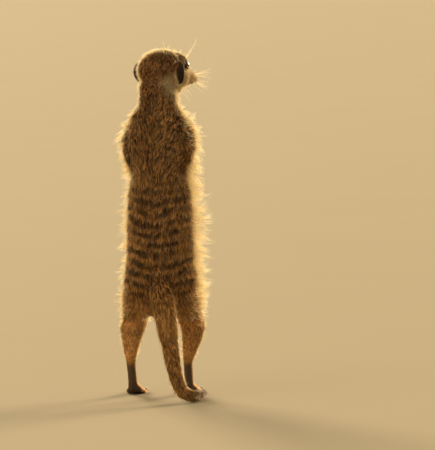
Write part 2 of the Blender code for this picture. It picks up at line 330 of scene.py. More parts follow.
def node_copy(name):
    """A closed copy of a CAD node, grown to meet its neighbours.

    The beds of the arms are filled, and paws lose their claws, which are modelled apart.
    """
    form = bmesh.new()
    form.from_mesh(frame["nodes"][name].data)
    bmesh.ops.remove_doubles(form, verts=form.verts, dist=1e-6)
    if name in ("chest", "abdomen"):
        hull = bmesh.ops.convex_hull(form, input=form.verts)
        bmesh.ops.delete(form, geom=list(set(hull["geom_interior"] + hull["geom_unused"])), context="VERTS")
        bmesh.ops.recalc_face_normals(form, faces=form.faces)
    form.normal_update()
    for vert in form.verts:
        vert.co += vert.normal * CUT_CLOSING * MM
    low, high = [np.array(corner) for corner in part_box(name)]
    cut = None
    if name.startswith("front_paw"):
        cut = (0, 0, low[2] + 21 * MM), (0, 0, -1)
    if name.startswith("hind_foot"):
        cut = (0, high[1] - 8.6 * MM, 0), (0, 1, 0)
    if cut:
        whole = form.verts[:] + form.edges[:] + form.faces[:]
        made = bmesh.ops.bisect_plane(form, geom=whole, plane_co=cut[0], plane_no=cut[1], clear_outer=True)
        rim = [edge for edge in made["geom_cut"] if isinstance(edge, bmesh.types.BMEdge)]
        bmesh.ops.holes_fill(form, edges=rim, sides=0)
    return object_from(form, f"{name}_copy")


# The radii of a digit and of a claw along their lines.
DIGIT_RADII = (1.7, 1.8, 1.6, 1.45, 1.0)
CLAW_RADII = (1.05, 1.0, 0.85, 0.55, 0.13)


def digit_lines(node):
    """The middle line of each of a paw's four digits, and of the claw at its end, outer digits shorter.

    A hind foot's digits are in its CAD node, so only their claws have lines.
    """
    low, high = [np.array(corner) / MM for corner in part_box(node)]
    rows = []
    for spread in (-1.5, -0.5, 0.5, 1.5):
        short = abs(spread)
        if node.startswith("front"):
            inward = 1.4 if low[0] < TRUNK_LEVELS[1][0] else -1.4
            x, y, z = (low[0] + high[0]) / 2 + inward, high[1], low[2] + short * 1.2
            digit = [(x + spread * 2.4, y - 5.4, z + 27), (x + spread * 2.9, y - 3.6, z + 21.0),
                     (x + spread * 3.4, y - 2.7, z + 15.5), (x + spread * 3.8, y - 2.7, z + 11.4),
                     (x + spread * 3.9, y - 3.1, z + 9.4)]
            claw = [(x + spread * 3.85, y - 3.3, z + 12.5), (x + spread * 3.9, y - 2.2, z + 9.6),
                    (x + spread * 3.9, y - 2.2, z + 6.6), (x + spread * 3.8, y - 3.6, z + 3.0),
                    (x + spread * 3.7, y - 6.0, z)]
        else:
            x, y = (low[0] + high[0]) / 2 + spread * 5.2, high[1] - short * 1.6 + 0.8
            digit = []
            claw = [(x, y - 11, 3.4), (x, y - 7.5, 3.8), (x, y - 4.5, 3.2), (x, y - 2, 2.1), (x, y, 0.8)]
        rows.append((digit, claw))
    return rows


def joined(name, objects, voxel):
    """One closed surface round all of these objects."""
    select_only(*objects)
    bpy.ops.object.join()
    whole = bpy.context.view_layer.objects.active
    whole.name = whole.data.name = name
    apply_modifier(whole, "REMESH", mode="VOXEL", voxel_size=voxel * MM, use_smooth_shade=True)
    whole.data.materials.clear()
    return whole


def thin_body(obj):
    """Fewer faces where the long coat hides the skin."""
    places = places_of(obj.data)
    chosen = ~(paw_places(places) | face_places(places) | ear_places(places))
    select_only(obj)
    bpy.ops.object.mode_set(mode="EDIT")
    bpy.ops.mesh.select_mode(type="VERT")
    bpy.ops.mesh.select_all(action="DESELECT")
    bpy.ops.object.mode_set(mode="OBJECT")
    obj.data.vertices.foreach_set("select", chosen)
    bpy.ops.object.mode_set(mode="EDIT")
    bpy.ops.mesh.decimate(ratio=BODY_KEPT)
    bpy.ops.object.mode_set(mode="OBJECT")


def refine(mesh, wanted):
    """Halves the faces whose middles this function of places says to."""
    form = bmesh.new()
    form.from_mesh(mesh)
    middles = np.array([face.calc_center_median() for face in form.faces]) / MM
    chosen = wanted(middles)
    edges = {edge for face, take in zip(form.faces, chosen) if take for edge in face.edges}
    bmesh.ops.subdivide_edges(form, edges=list(edges), cuts=1, use_grid_fill=True)
    form.to_mesh(mesh)
    form.free()


def face_places(middles):
    spots = to_head(middles)
    return (spots[:, 1] > 10) & (spots[:, 2] > -24)


def ear_places(middles):
    spots = to_head(middles)
    return (np.abs(spots[:, 0]) > 19.5) & (np.abs(spots[:, 1]) < 11) & (np.abs(spots[:, 2]) < 12.5)


def paw_places(middles):
    fore = middle_of("front_paw_left", "front_paw_right")
    hand = (middles[:, 2] < fore[2] + 8) & (middles[:, 2] > 140) & (middles[:, 1] > fore[1] - 9)
    return hand | ((middles[:, 2] < 12) & (middles[:, 1] > -4))


def fine_places(middles):
    spots = to_head(middles)
    eyes = np.minimum(*[np.linalg.norm(middles - middle_of(f"eye_{side}"), axis=1) for side in SIDES])
    return (eyes < 8) | (spots[:, 1] > 44)


# ------------------------------------------------------------------ what each part of the skin is like

# Coat of each part: how deep the skin lies in it at the back, the sides and the front, how much of the
# body's sideways room is loose fringe, then each tuft's length, width and lift in degrees, and how many
# tufts stand on a square millimetre.
COAT = {
    "head": (3.7, 3.8, 2.6, 0.0, 4.4, 0.42, 21, 3.1),
    "nose": (0.4, 0.4, 0.4, 0.0, 0.8, 0.25, 12, 3.0),
    "eye": (0.9, 0.9, 0.9, 0.0, 1.5, 0.28, 12, 5.0),
    "ear": (0.2, 0.2, 0.2, 0.0, 1.7, 0.27, 20, 5.0),
    "neck": (4.0, 3.8, 4.0, 0.4, 7.6, 0.50, 20, 2.2),
    "chest": (4.6, 3.2, 6.5, 1.0, 8.6, 0.54, 18, 2.0),
    "abdomen": (4.6, 3.0, 7.5, 1.0, 9.0, 0.54, 18, 2.0),
    "rump": (4.6, 3.0, 6.5, 1.0, 8.6, 0.54, 18, 2.0),
    "upper_arm": (4.0, 3.2, 3.6, 1.0, 7.0, 0.50, 16, 1.7),
    "forearm": (2.6, 2.4, 2.4, 1.0, 4.6, 0.40, 15, 2.2),
    "front_paw": (0.7, 0.7, 0.7, 0.0, 1.8, 0.28, 15, 5.0),
    "thigh": (3.6, 3.2, 3.6, 0.9, 6.8, 0.50, 17, 1.9),
    "shin": (2.8, 2.7, 2.8, 0.0, 4.8, 0.42, 17, 2.4),
    "hind_foot": (0.9, 1.2, 0.8, 0.0, 2.0, 0.30, 14, 5.0),
    "tail_base": (2.0, 1.2, 2.0, 0.0, 8.0, 0.50, 20, 2.1),
    "tail_middle": (2.4, 2.2, 2.4, 0.0, 6.4, 0.46, 20, 2.3),
    "tail_tip": (1.9, 1.9, 1.9, 0.0, 6.6, 0.46, 16, 2.6),
}
COAT_PARTS = list(COAT)
HEAD_PARTS = ("head", "nose", "eye")
TAIL_PARTS = ("tail_base", "tail_middle", "tail_tip")
# The dense body's share of the width out to the tips of the flank's fringe, at these heights, and how
# much less it is on the right.
FRINGE_LEVELS = (48, 66, 78, 95, 112, 190, 200, 208, 216, 224, 233, 243, 255, 268, 285)
BODY_SHARES = (1.0, 0.96, 0.90, 0.84, 0.79, 0.79, 0.77, 0.74, 0.73, 0.82, 0.86, 0.86, 0.87, 0.92, 1.0)
RIGHT_NARROWER = 0.045
ELBOW_TUCK = 4.0
SINKING_STEPS = 6
# The middle of the front paws stands this high over their claws' tips, and the soles this high off the floor.
PAW_HALF_HEIGHT = 21.7
SOLE_GAP = 0.03


def part_name(node):
    for side in SIDES:
        node = node.removesuffix(f"_{side}")
    return node


def nearest_parts(places, nodes):
    """For each place, the index in COAT_PARTS of the nearest of these CAD nodes."""
    corners, faces, owners = [], [], []
    start = 0
    for name in nodes:
        mesh = frame["nodes"][name].data
        verts = [vert.co.copy() for vert in mesh.vertices]
        corners += verts
        for polygon in mesh.polygons:
            faces.append([start + i for i in polygon.vertices])
            owners.append(COAT_PARTS.index(part_name(name)))
        start += len(verts)
    tree = BVHTree.FromPolygons(corners, faces)
    owners = np.array(owners)
    return owners[[tree.find_nearest(Vector(spot * MM))[2] for spot in places]]


def is_part(parts, *names):
    return np.isin(parts, [COAT_PARTS.index(name) for name in names])


def coat_table(parts):
    """The row of COAT for each place."""
    return np.array(list(COAT.values()))[parts]


def settle_paws(places, parts, evener):
    """Evens the wrists, where two surfaces meet, and brings the soles down to the floor."""
    paw_low = middle_of("front_paw_left", "front_paw_right")[2] - PAW_HALF_HEIGHT
    wrists = is_part(parts, "front_paw", "forearm") * smooth(paw_low + 17, paw_low + 22, places[:, 2])
    wrists = evener.even(wrists * smooth(paw_low + 52, paw_low + 42, places[:, 2]), 3)
    places += (evener.even(places, 16) - places) * wrists[:, None]
    feet = is_part(parts, "hind_foot")
    places[:, 2] -= feet * (places[feet, 2].min() - SOLE_GAP) * smooth(7.0, 1.5, places[:, 2])


def sunk(obj, nodes, elbow_tuck=0.0):
    """Narrows the flanks by their loose fringe's room, tucks in the elbows and sinks by the coat's depth."""
    places = places_of(obj.data)
    height = places[:, 2]
    parts = nearest_parts(places, nodes)
    evener = Evener(obj.data)
    table = coat_table(parts)
    table[:, 3] *= np.where(is_part(parts, "forearm"), smooth(184, 198, height), 1.0)
    loose = evener.even(table[:, 3], 30)
    across, _ = trunk_middle(height)
    on_right = places[:, 0] > across
    share = np.interp(height, FRINGE_LEVELS, BODY_SHARES)
    share = share - RIGHT_NARROWER * on_right * smooth(104, 126, height) * smooth(226, 196, height)
    places[:, 0] -= np.sign(places[:, 0] - across) * elbow_tuck * smooth(194, 206, height)
    places[:, 0] = across + (places[:, 0] - across) * (1 - loose * (1 - share))
    firm = is_part(parts, *HEAD_PARTS, "front_paw", "hind_foot")
    rounding = evener.even(1.0 - firm, 6)
    places += rounding[:, None] * (evener.even(places, 12) - places)
    put_places(obj.data, places)
    facing = evener.even(normals_of(obj.data), 6)
    front = facing[:, 1] > 0
    facing[:, 2] *= 0.5
    facing = unit(facing) ** 2
    depth = facing[:, 0] * table[:, 1] + (1 - facing[:, 0]) * np.where(front, table[:, 2], table[:, 0])
    in_face = smooth(0, 30, to_head(places)[:, 1]) * is_part(parts, *HEAD_PARTS)
    shins = is_part(parts, "shin")
    depth = np.where(shins, 1.0 + (depth - 1.0) * smooth(34, 62, height), depth)
    depth = depth * (1 - in_face) + in_face * 0.9
    depth = evener.even(depth, 14) + CUT_CLOSING * 0.8
    for _ in range(SINKING_STEPS):
        ways = evener.even(normals_of(obj.data), 2)
        places -= unit(ways) * depth[:, None] / SINKING_STEPS
        places += 0.4 * rounding[:, None] * (evener.even(places, 2) - places)
        put_places(obj.data, places)
    return obj


arm_nodes = [name for name in frame["nodes"] if name.startswith(("forearm", "front_paw"))]
body_nodes = [name for name in frame["nodes"] if not name.startswith(("ear_", "front_paw"))]
body = sunk(joined("body", [node_copy(name) for name in body_nodes], FIRST_VOXEL), body_nodes)
arms = sunk(joined("arms", [node_copy(name) for name in arm_nodes], FIRST_VOXEL), arm_nodes, ELBOW_TUCK)
added = [piece for side in SIDES.values() for piece in add_pinna(side)]
digits = [(np.array(digit), DIGIT_RADII) for name in arm_nodes if name.startswith("front")
          for digit, _ in digit_lines(name)]
added.append(tube_object("digits", digits, 12))
skin = joined("skin", [body, arms, *added], SKIN_VOXEL)
thin_body(skin)
refine(skin.data, fine_places)

places = places_of(skin.data)
parts = nearest_parts(places, frame["nodes"])
spots = to_head(places)
parts[ear_places(places) & (np.abs(spots[:, 0]) > 22.7)] = COAT_PARTS.index("ear")
evener = Evener(skin.data)
table = coat_table(parts)
is_limb = is_part(parts, "front_paw", "forearm", "thigh", "shin", "hind_foot", "upper_arm").astype(float)
is_tail = is_part(parts, *TAIL_PARTS).astype(float)
places += (evener.even(places, 2) - places) * evener.even(~is_part(parts, "nose", "eye") * 1.0, 2)[:, None]
settle_paws(places, parts, evener)
put_places(skin.data, places)


# ------------------------------------------------------------------ folds, lids, nose and ears

def route_distance(spots, route):
    """How far each place is from a line through these points, and how far along it the nearest spot is."""
    route = np.array(route, float)
    best = np.full(len(spots), 1e9)
    where = np.zeros(len(spots))
    for i, (start, end) in enumerate(zip(route, route[1:])):
        way = end - start
        t = np.clip(((spots - start) @ way) / (way @ way), 0, 1)
        gap = np.linalg.norm(spots - start - t[:, None] * way, axis=1)
        closer = gap < best
        best = np.where(closer, gap, best)
        where = np.where(closer, i + t, where)
    return best, where / (len(route) - 1)


SPINE_OFFSET = -float(TRUNK_LEVELS[2][0]) * MM
EYE_RADIUS = 4.45
EYE_SET_BACK = 1.5
# The eye's bulge: the share of the radius where it starts, its height, and how much that is stretched.
BULGE_START = 0.72
BULGE = 0.9
BULGE_STRETCH = 1.2
EYE_WAY = unit(np.array((0.72, 0.66, 0.16)))
eye_middles = {}
for side_name, side in SIDES.items():
    middle = to_head(middle_of(f"eye_{side_name}")[None])[0]
    eye_middles[side] = middle - EYE_WAY * (side, 1, 1) * EYE_SET_BACK


def shape_face(spots, normals):
    """Head places moved into the folds of the face."""
    moved = np.zeros(len(spots))
    for side in SIDES.values():
        for centre, radii, rise in (
            ((13.0, 24.0, 13.0), (6.0, 5.0, 2.6), 1.2),
            ((7.6, 32.4, 4.4), (2.8, 4.0, 3.0), -0.8),
            ((16.0, 19.0, -1.7), (4.5, 8.0, 3.0), 0.7),
            ((5.6, 42.4, -7.2), (3.4, 6.0, 3.0), 0.9),
            ((2.5, 49.6, -8.0), (1.9, 2.2, 1.5), 0.5),
            ((21.8, 4.6, 0.0), (4.0, 3.0, 6.0), -1.5),
        ):
            moved += rise * lump(spots, (centre[0] * side, *centre[1:]), radii)
        mouth = [(13.2 * side, 19, -9.2), (10.4 * side, 30, -10.3), (7.4 * side, 39.4, -10.3),
                 (4.2 * side, 46.9, -10.2), (0, 49.9, -10.1)]
        gap, share = route_distance(spots, mouth)
        moved -= 0.9 * np.exp(-(gap / 0.6) ** 2) * smooth(0.0, 0.3, share)
        moved += 0.35 * np.exp(-((gap - 1.7) / 0.8) ** 2) * smooth(0.1, 0.4, share)
    moved += 0.9 * lump(spots, (0, 43.0, -13.0), (5.0, 6.0, 3.0))
    moved += 0.8 * lump(spots, (0, 31.0, -17.5), (8.0, 7.0, 5.0))
    moved += 0.5 * lump(spots, (0, 41.5, 2.2), (5.0, 8.0, 4.0))
    philtrum = np.exp(-(spots[:, 0] / 0.45) ** 2) * smooth(46.4, 49.4, spots[:, 1])
    moved -= 0.45 * philtrum * smooth(-10.7, -8.9, spots[:, 2]) * smooth(-3.8, -5.9, spots[:, 2])
    return spots + normals * moved[:, None]


def shape_nose(spots):
    """The nose pad: its rim above, and a nostril on each side that runs back into a slit."""
    for side in SIDES.values():
        slit = [(1.25 * side, 54.3, -4.7), (2.1 * side, 53.6, -4.1), (3.3 * side, 52.0, -3.7)]
        gap, share = route_distance(spots, slit)
        hole = np.exp(-(gap / (0.72 - 0.34 * share)) ** 2) * (1.25 - 0.45 * share)
        rim = np.exp(-((gap - 1.15) / 0.45) ** 2) * 0.28
        inward = unit(np.array((-0.55 * side, -0.80, 0.05)))
        spots = spots + inward * (hole - rim)[:, None]
    return spots


def shape_lids(spots):
    """Head places round each eye laid over the ball as lids, with the opening sunk behind it."""
    lid_mask = np.zeros(len(spots))
    for side, centre in eye_middles.items():
        way = EYE_WAY * (side, 1, 1)
        level = unit(np.cross(way, UP)) * side
        rise = np.cross(level * side, way)
        from_ball = spots - centre
        away = np.linalg.norm(from_ball, axis=1)
        aim = unit(from_ball)
        right, up, out = aim @ level, aim @ rise, aim @ way
        opening = np.sqrt((right / 0.82) ** 2 + ((up + 0.10 * right) / np.where(up > 0, 0.63, 0.55)) ** 2)
        near = smooth(9.5, 7.5, away) * smooth(0.0, 0.3, out)
        lid_height = EYE_RADIUS + 0.28 + 0.32 * np.exp(-((opening - 1.09) / 0.10) ** 2)
        over = smooth(1.75, 1.12, opening) * near
        wanted = away * (1 - over) + lid_height * over
        wanted = np.maximum(wanted, lid_height * near)
        inside = smooth(1.02, 0.95, opening) * near
        wanted = wanted * (1 - inside) + (EYE_RADIUS - 1.0) * inside
        spots = centre + aim * wanted[:, None]
        lid_mask = np.maximum(lid_mask, smooth(1.24, 1.10, opening) * near)
    return spots, lid_mask


spots = to_head(places)
head_side = is_part(parts, *HEAD_PARTS, "ear")
normals = normals_of(skin.data) @ HEAD_AXES.T
shaped = shape_nose(shape_face(spots, normals))
shaped, lids = shape_lids(shaped)
places[head_side] = from_head(shaped[head_side])
lids *= head_side
put_places(skin.data, places)


# ------------------------------------------------------------------ the lie of the coat

def middle_line(chosen, start, bins=9):
    """The line up the middle of these places, beginning at the end nearest to start."""
    mean = chosen.mean(0)
    _, _, ways = np.linalg.svd((chosen - mean)[:: max(1, len(chosen) // 4000)], full_matrices=False)
    reach = (chosen - mean) @ ways[0]
    if np.dot(np.asarray(start) - mean, ways[0]) > 0:
        reach = -reach
    ends = np.quantile(reach, (0.02, 0.98))
    slot = np.clip(((reach - ends[0]) / (ends[1] - ends[0]) * bins).astype(int), 0, bins - 1)
    counts = np.bincount(slot, minlength=bins)
    return np.array([[np.bincount(slot, chosen[:, i], bins)[k] / max(counts[k], 1) for i in range(3)]
                     for k in range(bins) if counts[k]])


def follow(places, line):
    """The direction of a line at the point on it nearest to each place, and the share of its length."""
    _, share = route_distance(places, line)
    tangents = unit(np.gradient(line, axis=0))
    at = share * (len(line) - 1)
    columns = [np.interp(at, np.arange(len(line)), tangents[:, i]) for i in range(3)]
    return unit(np.stack(columns, 1)), share


def lie_of_coat(places, parts, normals):
    """The way the hair points at each place, along the skin."""
    turn = turn_from_spine(places)
    round_share = np.abs(turn) / math.pi
    upper = smooth(180, 225, places[:, 2]) * smooth(285, 262, places[:, 2])
    slant = np.radians(10 + 14 * upper) * smooth(0.0, 0.10, round_share)
    slant += np.radians(16 + 24 * upper) * smooth(0.08, 0.40, round_share)
    slant *= smooth(0.98, 0.62, round_share)
    across, along = trunk_middle(places[:, 2])
    outward = unit(np.stack((places[:, 0] - across, places[:, 1] - along, np.zeros(len(places))), 1))
    sideways = np.cross(outward, -UP) * -np.sign(turn)[:, None]
    flow = -UP * np.cos(slant)[:, None] + sideways * np.sin(slant)[:, None]
    spots = to_head(places)
    from_nose = unit(spots - np.array((0, 58, -3)))
    backward = smooth(24, -8, spots[:, 1])[:, None]
    head_flow = from_nose * (1 - 0.35 * backward) + np.array((0, 0, -1.0)) * (0.15 + 0.75 * backward)
    on_head = is_part(parts, *HEAD_PARTS, "ear")
    flow[on_head] = (head_flow @ HEAD_AXES)[on_head]
    for name in ("upper_arm", "forearm", "front_paw", "thigh", "shin", "hind_foot"):
        for side in SIDES.values():
            chosen = is_part(parts, name) & ((places[:, 0] - TRUNK_LEVELS[1][0]) * side > 0)
            line = middle_line(places[chosen], places[chosen][np.argmax(places[chosen][:, 2])])
            flow[chosen] = follow(places[chosen], line)[0]
            if name == "thigh":
                flow[chosen] += np.array((0.25 * side, -0.15, -0.2))
    tail = is_tail > 0
    flow[tail] = follow(places[tail], tail_line(places, parts))[0]
    flow -= normals * dot(flow, normals)
    return unit(flow)


def tail_line(places, parts):
    """The line along the middle of the tail, from its root."""
    lines = []
    start = middle_of("rump")
    for name, bins in zip(TAIL_PARTS, (7, 8, 7)):
        lines.append(middle_line(places[is_part(parts, name)], start, bins))
        start = lines[-1][-1]
    return np.concatenate(lines)


normals = normals_of(skin.data)
flow = lie_of_coat(places, parts, normals)
for _ in range(5):
    flow = evener.even(flow, 6)
    flow = unit(flow - normals * dot(flow, normals))
is_ear = is_part(parts, "ear")
fields = evener.even(table[:, 4:], 40)
in_face = smooth(8, 30, spots[:, 1] + 0.25 * np.abs(spots[:, 0])) * (spots[:, 2] > -26)
FACE_FIELDS = np.array((2.3, 0.27, 17, 6.5))
fields = fields * (1 - in_face[:, None]) + FACE_FIELDS * in_face[:, None]
near_nose = smooth(38, 50, spots[:, 1])
fields[:, 0] *= 1 - 0.5 * near_nose
fields[is_ear] = table[is_ear, 4:]
down_leg = smooth(62, 34, places[:, 2]) * is_part(parts, "shin")
fields[:, 0] *= 1 - 0.5 * evener.even(down_leg, 6)
fields[:, 1] *= 1 - 0.25 * evener.even(down_leg, 6)


# ------------------------------------------------------------------ markings

def markings(places, normals, parts):
    """Shares of pale, dark and golden coat, and how far the back's bands show, at each place."""
    height = places[:, 2]
    turn = np.abs(turn_from_spine(places)) / math.pi
    wander = drift(places, 9, 3)
    spots = to_head(places)
    beside, ahead, above = np.abs(spots[:, 0]), spots[:, 1], spots[:, 2]
    heads = is_part(parts, *HEAD_PARTS, "ear")
    body_pale = smooth(0.54, 0.76, turn + 0.03 * wander)
    cheek = smooth(3.5, -3.5, above - 0.18 * ahead + 1.2 * wander) * smooth(-14, 2, ahead + beside * 0.2)
    snout = smooth(26, 34, ahead) * smooth(4.5, 1.0, above + 0.25 * (ahead - 30))
    brow = 0.42 * smooth(4, 28, ahead) * smooth(22, 6, above)
    head_pale = np.maximum.reduce((cheek, snout, brow))
    pale = np.where(heads, head_pale, body_pale)
    dark = np.zeros(len(places))
    for middle in eye_middles.values():
        patch = spots - middle
        patch[:, 1] -= 0.2
        size = np.sqrt((patch[:, 0] / 7.6) ** 2 + (patch[:, 1] / 6.7) ** 2 + (patch[:, 2] / 5.5) ** 2)
        dark = np.maximum(dark, smooth(1.12, 0.86, size + 0.05 * wander) * heads)
    crown = smooth(2.0, 14.0, above) * smooth(26.0, 12.0, ahead)
    dark = np.maximum(dark, 0.37 * crown * heads)
    for side in SIDES.values():
        lips = [(11.0 * side, 28, -10.3), (7.4 * side, 39.4, -10.3), (0, 49.9, -10.1)]
        gap, share = route_distance(spots, lips)
        dark = np.maximum(dark, 0.8 * np.exp(-(gap / 0.8) ** 2) * smooth(0.0, 0.3, share) * heads)
    dark = np.maximum(dark, smooth(47.0, 49.5, ahead) * smooth(-9.0, -6.5, above) * heads * 0.8)
    behind = smooth(2.0, -1.0, ahead)
    dark = np.maximum(dark, is_part(parts, "ear") * smooth(21.8 + 2.2 * behind, 23.2 + 2.2 * behind, beside))
    _, tail_share = follow(places, tail_line(places, parts))
    tails = is_part(parts, *TAIL_PARTS)
    dark = np.maximum(dark, tails * smooth(0.64, 0.74, tail_share + 0.01 * wander))
    legs = is_part(parts, "thigh", "shin", "hind_foot", "front_paw", "forearm", "upper_arm")
    golden = is_part(parts, "thigh", "shin", "hind_foot", "rump", "tail_base") * smooth(112, 66, height)
    golden += is_part(parts, "front_paw")
    golden += is_part(parts, "forearm") * smooth(222, 205, height)
    golden = np.maximum(golden, 0.35 * tails * smooth(104, 70, height))
    pale = np.where(tails, 0.0, pale)
    inner = smooth(0.2, 0.8, normals[:, 1]) * 0.7
    pale = np.where(legs, inner, pale)
    banded = smooth(92, 106, height) * smooth(216, 186, height) * smooth(0.60, 0.40, turn)
    banded = banded * (1 - is_limb) * (1 - is_tail)
    return np.stack((pale, dark, golden, banded), 1)


marks = evener.even(markings(places, normals, parts), 5)
set_values(skin.data, "marks", "FLOAT_COLOR", marks)
set_values(skin.data, "place", "FLOAT_VECTOR", places * MM)

# Bare skin: the nose pad, the rims of the lids and the soles.
spots = to_head(places)
nose_pad = is_part(parts, "nose") * 1.0
nose_pad = np.maximum(nose_pad, head_side * smooth(48.2, 49.4, spots[:, 1]) * smooth(-9.0, -7.4, spots[:, 2]))
nose_pad = evener.even(nose_pad, 2)
sole_line = is_part(parts, "hind_foot") * smooth(34, 30, places[:, 2]) * smooth(-0.05, -0.45, normals[:, 1])
sole_line = np.maximum(sole_line, is_part(parts, "hind_foot") * smooth(-0.5, -0.8, normals[:, 2]))
sole_line = np.maximum(sole_line, is_part(parts, "front_paw") * smooth(0.4, 0.7, -normals[:, 1]))
sole_line = evener.even(sole_line, 3)
bare = np.stack((nose_pad, lids, sole_line, np.ones(len(places))), 1)
set_values(skin.data, "bare", "FLOAT_COLOR", bare)
hairless = np.clip(nose_pad * 1.6 + smooth(0.3, 0.7, lids) + sole_line * 1.3, 0, 1)


# ------------------------------------------------------------------ tufts

# The side of the square patch of the OFBake map that each tuft takes.
PATCH = 0.003

corners = triangles_of(skin.data)
triangle_parts = parts[corners[:, 0]]
triangle_middles = places[corners].mean(1)
edge_a = places[corners[:, 1]] - places[corners[:, 0]]
edge_b = places[corners[:, 2]] - places[corners[:, 0]]
triangle_areas = np.linalg.norm(np.cross(edge_a, edge_b), axis=1) / 2


def scatter(chosen, density):
    """Roots spread evenly over these triangles: each root's triangle and its three weights."""
    expected = triangle_areas[chosen] * density[corners[chosen]].mean(1)
    running = np.cumsum(expected)
    count = int(running[-1])
    steps = (np.arange(count) + rng.random(count)) * running[-1] / count
    triangle = chosen[np.minimum(np.searchsorted(running, steps), len(chosen) - 1)]
    one, two = rng.random(count), rng.random(count)
    fold = one + two > 1
    one, two = np.where(fold, 1 - one, one), np.where(fold, 1 - two, two)
    return triangle, np.stack((1 - one - two, one, two), 1)


def at_roots(values, triangle, weights):
    values = values.reshape(len(values), -1)
    return (values[corners[triangle]] * weights[:, :, None]).sum(1)


def centre_lines(root, way, out, length, lift, bend, rings):
    """Points up the middle of each tuft. It leaves the skin at the lift and bends over, or up, as it goes."""
    line = [root - out * np.minimum(0.3, 0.07 * length)[:, None]]
    step = length / rings
    for i in range(rings):
        angle = lift * (1 - bend * (i + 0.5) / rings)
        line.append(line[-1] + step[:, None] * (way * np.cos(angle)[:, None] + out * np.sin(angle)[:, None]))
    return np.stack(line, 1)


def gathered(line, root, lock_size, strength):
    """Leans the tufts' tips together into locks."""
    leaders = np.flatnonzero(rng.random(len(root)) < 1.0 / lock_size)
    tree = KDTree(len(leaders))
    for i in leaders:
        tree.insert(root[i], int(i))
    tree.balance()
    lead = np.array([tree.find(spot)[1] for spot in root])
    share = np.linspace(0, 1, line.shape[1])[None, :, None] ** 1.4 * strength
    return line + (line[lead] - line) * share, lead


def tuft_mesh(name, line, out, width, fields, patch, wander):
    """A joined mesh of three-sided tapering spikes, one up each centre line."""
    count, stops = line.shape[:2]
    rings = stops - 1
    tangent = unit(np.gradient(line, axis=1))
    side = unit(np.cross(tangent, out[:, None, :]))
    over = np.cross(side, tangent)
    taper = np.interp(np.linspace(0, 1, stops)[:-1], (0, 0.35, 1), (0.85, 1.0, 0.25))
    verts = np.empty((count, rings * 3 + 1, 3))
    for k in range(rings):
        for corner, turn in enumerate(np.radians((90, 210, 330))):
            reach = side[:, k] * math.cos(turn) + over[:, k] * math.sin(turn) * 0.6
            verts[:, k * 3 + corner] = line[:, k] + reach * (width * taper[k] * 0.58)[:, None]
    verts[:, -1] = line[:, -1]
    verts[:, :, 2] = np.maximum(verts[:, :, 2], 0.03)
    faces, spread = [], []
    for k in range(rings):
        for corner in range(3):
            after = (corner + 1) % 3
            low = (corner / 3, k / rings), ((corner + 1) / 3, k / rings)
            if k < rings - 1:
                faces.append((k * 3 + corner, k * 3 + after, (k + 1) * 3 + after, (k + 1) * 3 + corner))
                spread.append((*low, (low[1][0], (k + 1) / rings), (low[0][0], (k + 1) / rings)))
            else:
                faces.append((k * 3 + corner, k * 3 + after, rings * 3))
                spread.append((*low, ((corner + 0.5) / 3, 1.0)))
    sizes = np.array([len(face) for face in faces])
    loops = np.concatenate([np.array(face) for face in faces])
    spread = np.concatenate([np.array(row) for row in spread])
    per_tuft = rings * 3 + 1
    all_loops = (loops[None] + (np.arange(count) * per_tuft)[:, None]).ravel()
    all_sizes = np.tile(sizes, count)
    mesh = bpy.data.meshes.new(name)
    mesh.vertices.add(count * per_tuft)
    mesh.vertices.foreach_set("co", (verts * MM).astype(np.float32).ravel())
    mesh.loops.add(len(all_loops))
    mesh.loops.foreach_set("vertex_index", all_loops.astype(np.int32))
    mesh.polygons.add(len(all_sizes))
    mesh.polygons.foreach_set("loop_start", (np.cumsum(all_sizes) - all_sizes).astype(np.int32))
    mesh.polygons.foreach_set("loop_total", all_sizes.astype(np.int32))
    mesh.polygons.foreach_set("use_smooth", np.ones(len(all_sizes), bool))
    uv = mesh.uv_layers.new(name="OFBake")
    spots = patch[:, None, :] + (spread[None] - 0.5) * PATCH
    uv.data.foreach_set("uv", spots.astype(np.float32).ravel())
    heights = np.append(np.repeat(np.arange(rings) / rings, 3), 1.0)
    set_values(mesh, "along", "FLOAT", np.tile(heights, count))
    rows = np.append(np.repeat(np.arange(rings), 3), rings)
    set_values(mesh, "place", "FLOAT_VECTOR", (line[:, rows] + wander[:, None]) * MM)
    for key, (kind, values) in fields.items():
        values = np.asarray(values).reshape(count, -1)
        set_values(mesh, key, kind, np.repeat(values, per_tuft, axis=0))
    mesh.update(calc_edges=True)
    return mesh


def unwrapped(root, line):
    """Places on a sleeve round a middle line, cut open and laid flat over the unit square."""
    tangent, share = follow(root, line)
    at = share * (len(line) - 1)
    middle = np.stack([np.interp(at, np.arange(len(line)), line[:, i]) for i in range(3)], 1)
    first = unit(np.cross(tangent, np.array((0.31, 0.95, 0.05))))
    second = np.cross(tangent, first)
    offset = root - middle
    turn = np.arctan2(dot(offset, second)[:, 0], dot(offset, first)[:, 0])
    reach = share + dot(offset, tangent)[:, 0] / np.linalg.norm(np.diff(line, axis=0), axis=1).sum()
    flat = np.stack((turn, reach), 1)
    low, high = flat.min(0), flat.max(0)
    return 0.01 + 0.98 * (flat - low) / np.maximum(high - low, 1e-6)


def grown(triangle, weights, length, lift, bend, rings):
    """The centre lines of tufts rooted here, with the skin's way out at each root."""
    root = at_roots(places, triangle, weights)
    out = unit(at_roots(normals, triangle, weights))
    way = at_roots(flow, triangle, weights)
    rows = len(root)
    swirl = np.radians(9) * rng.standard_normal(rows) + np.radians(16) * drift(root, 7, 11)
    way = unit(way - out * dot(way, out))
    way = way * np.cos(swirl)[:, None] + np.cross(out, way) * np.sin(swirl)[:, None]
    return centre_lines(root, way, out, length, lift, bend, rings), root, out


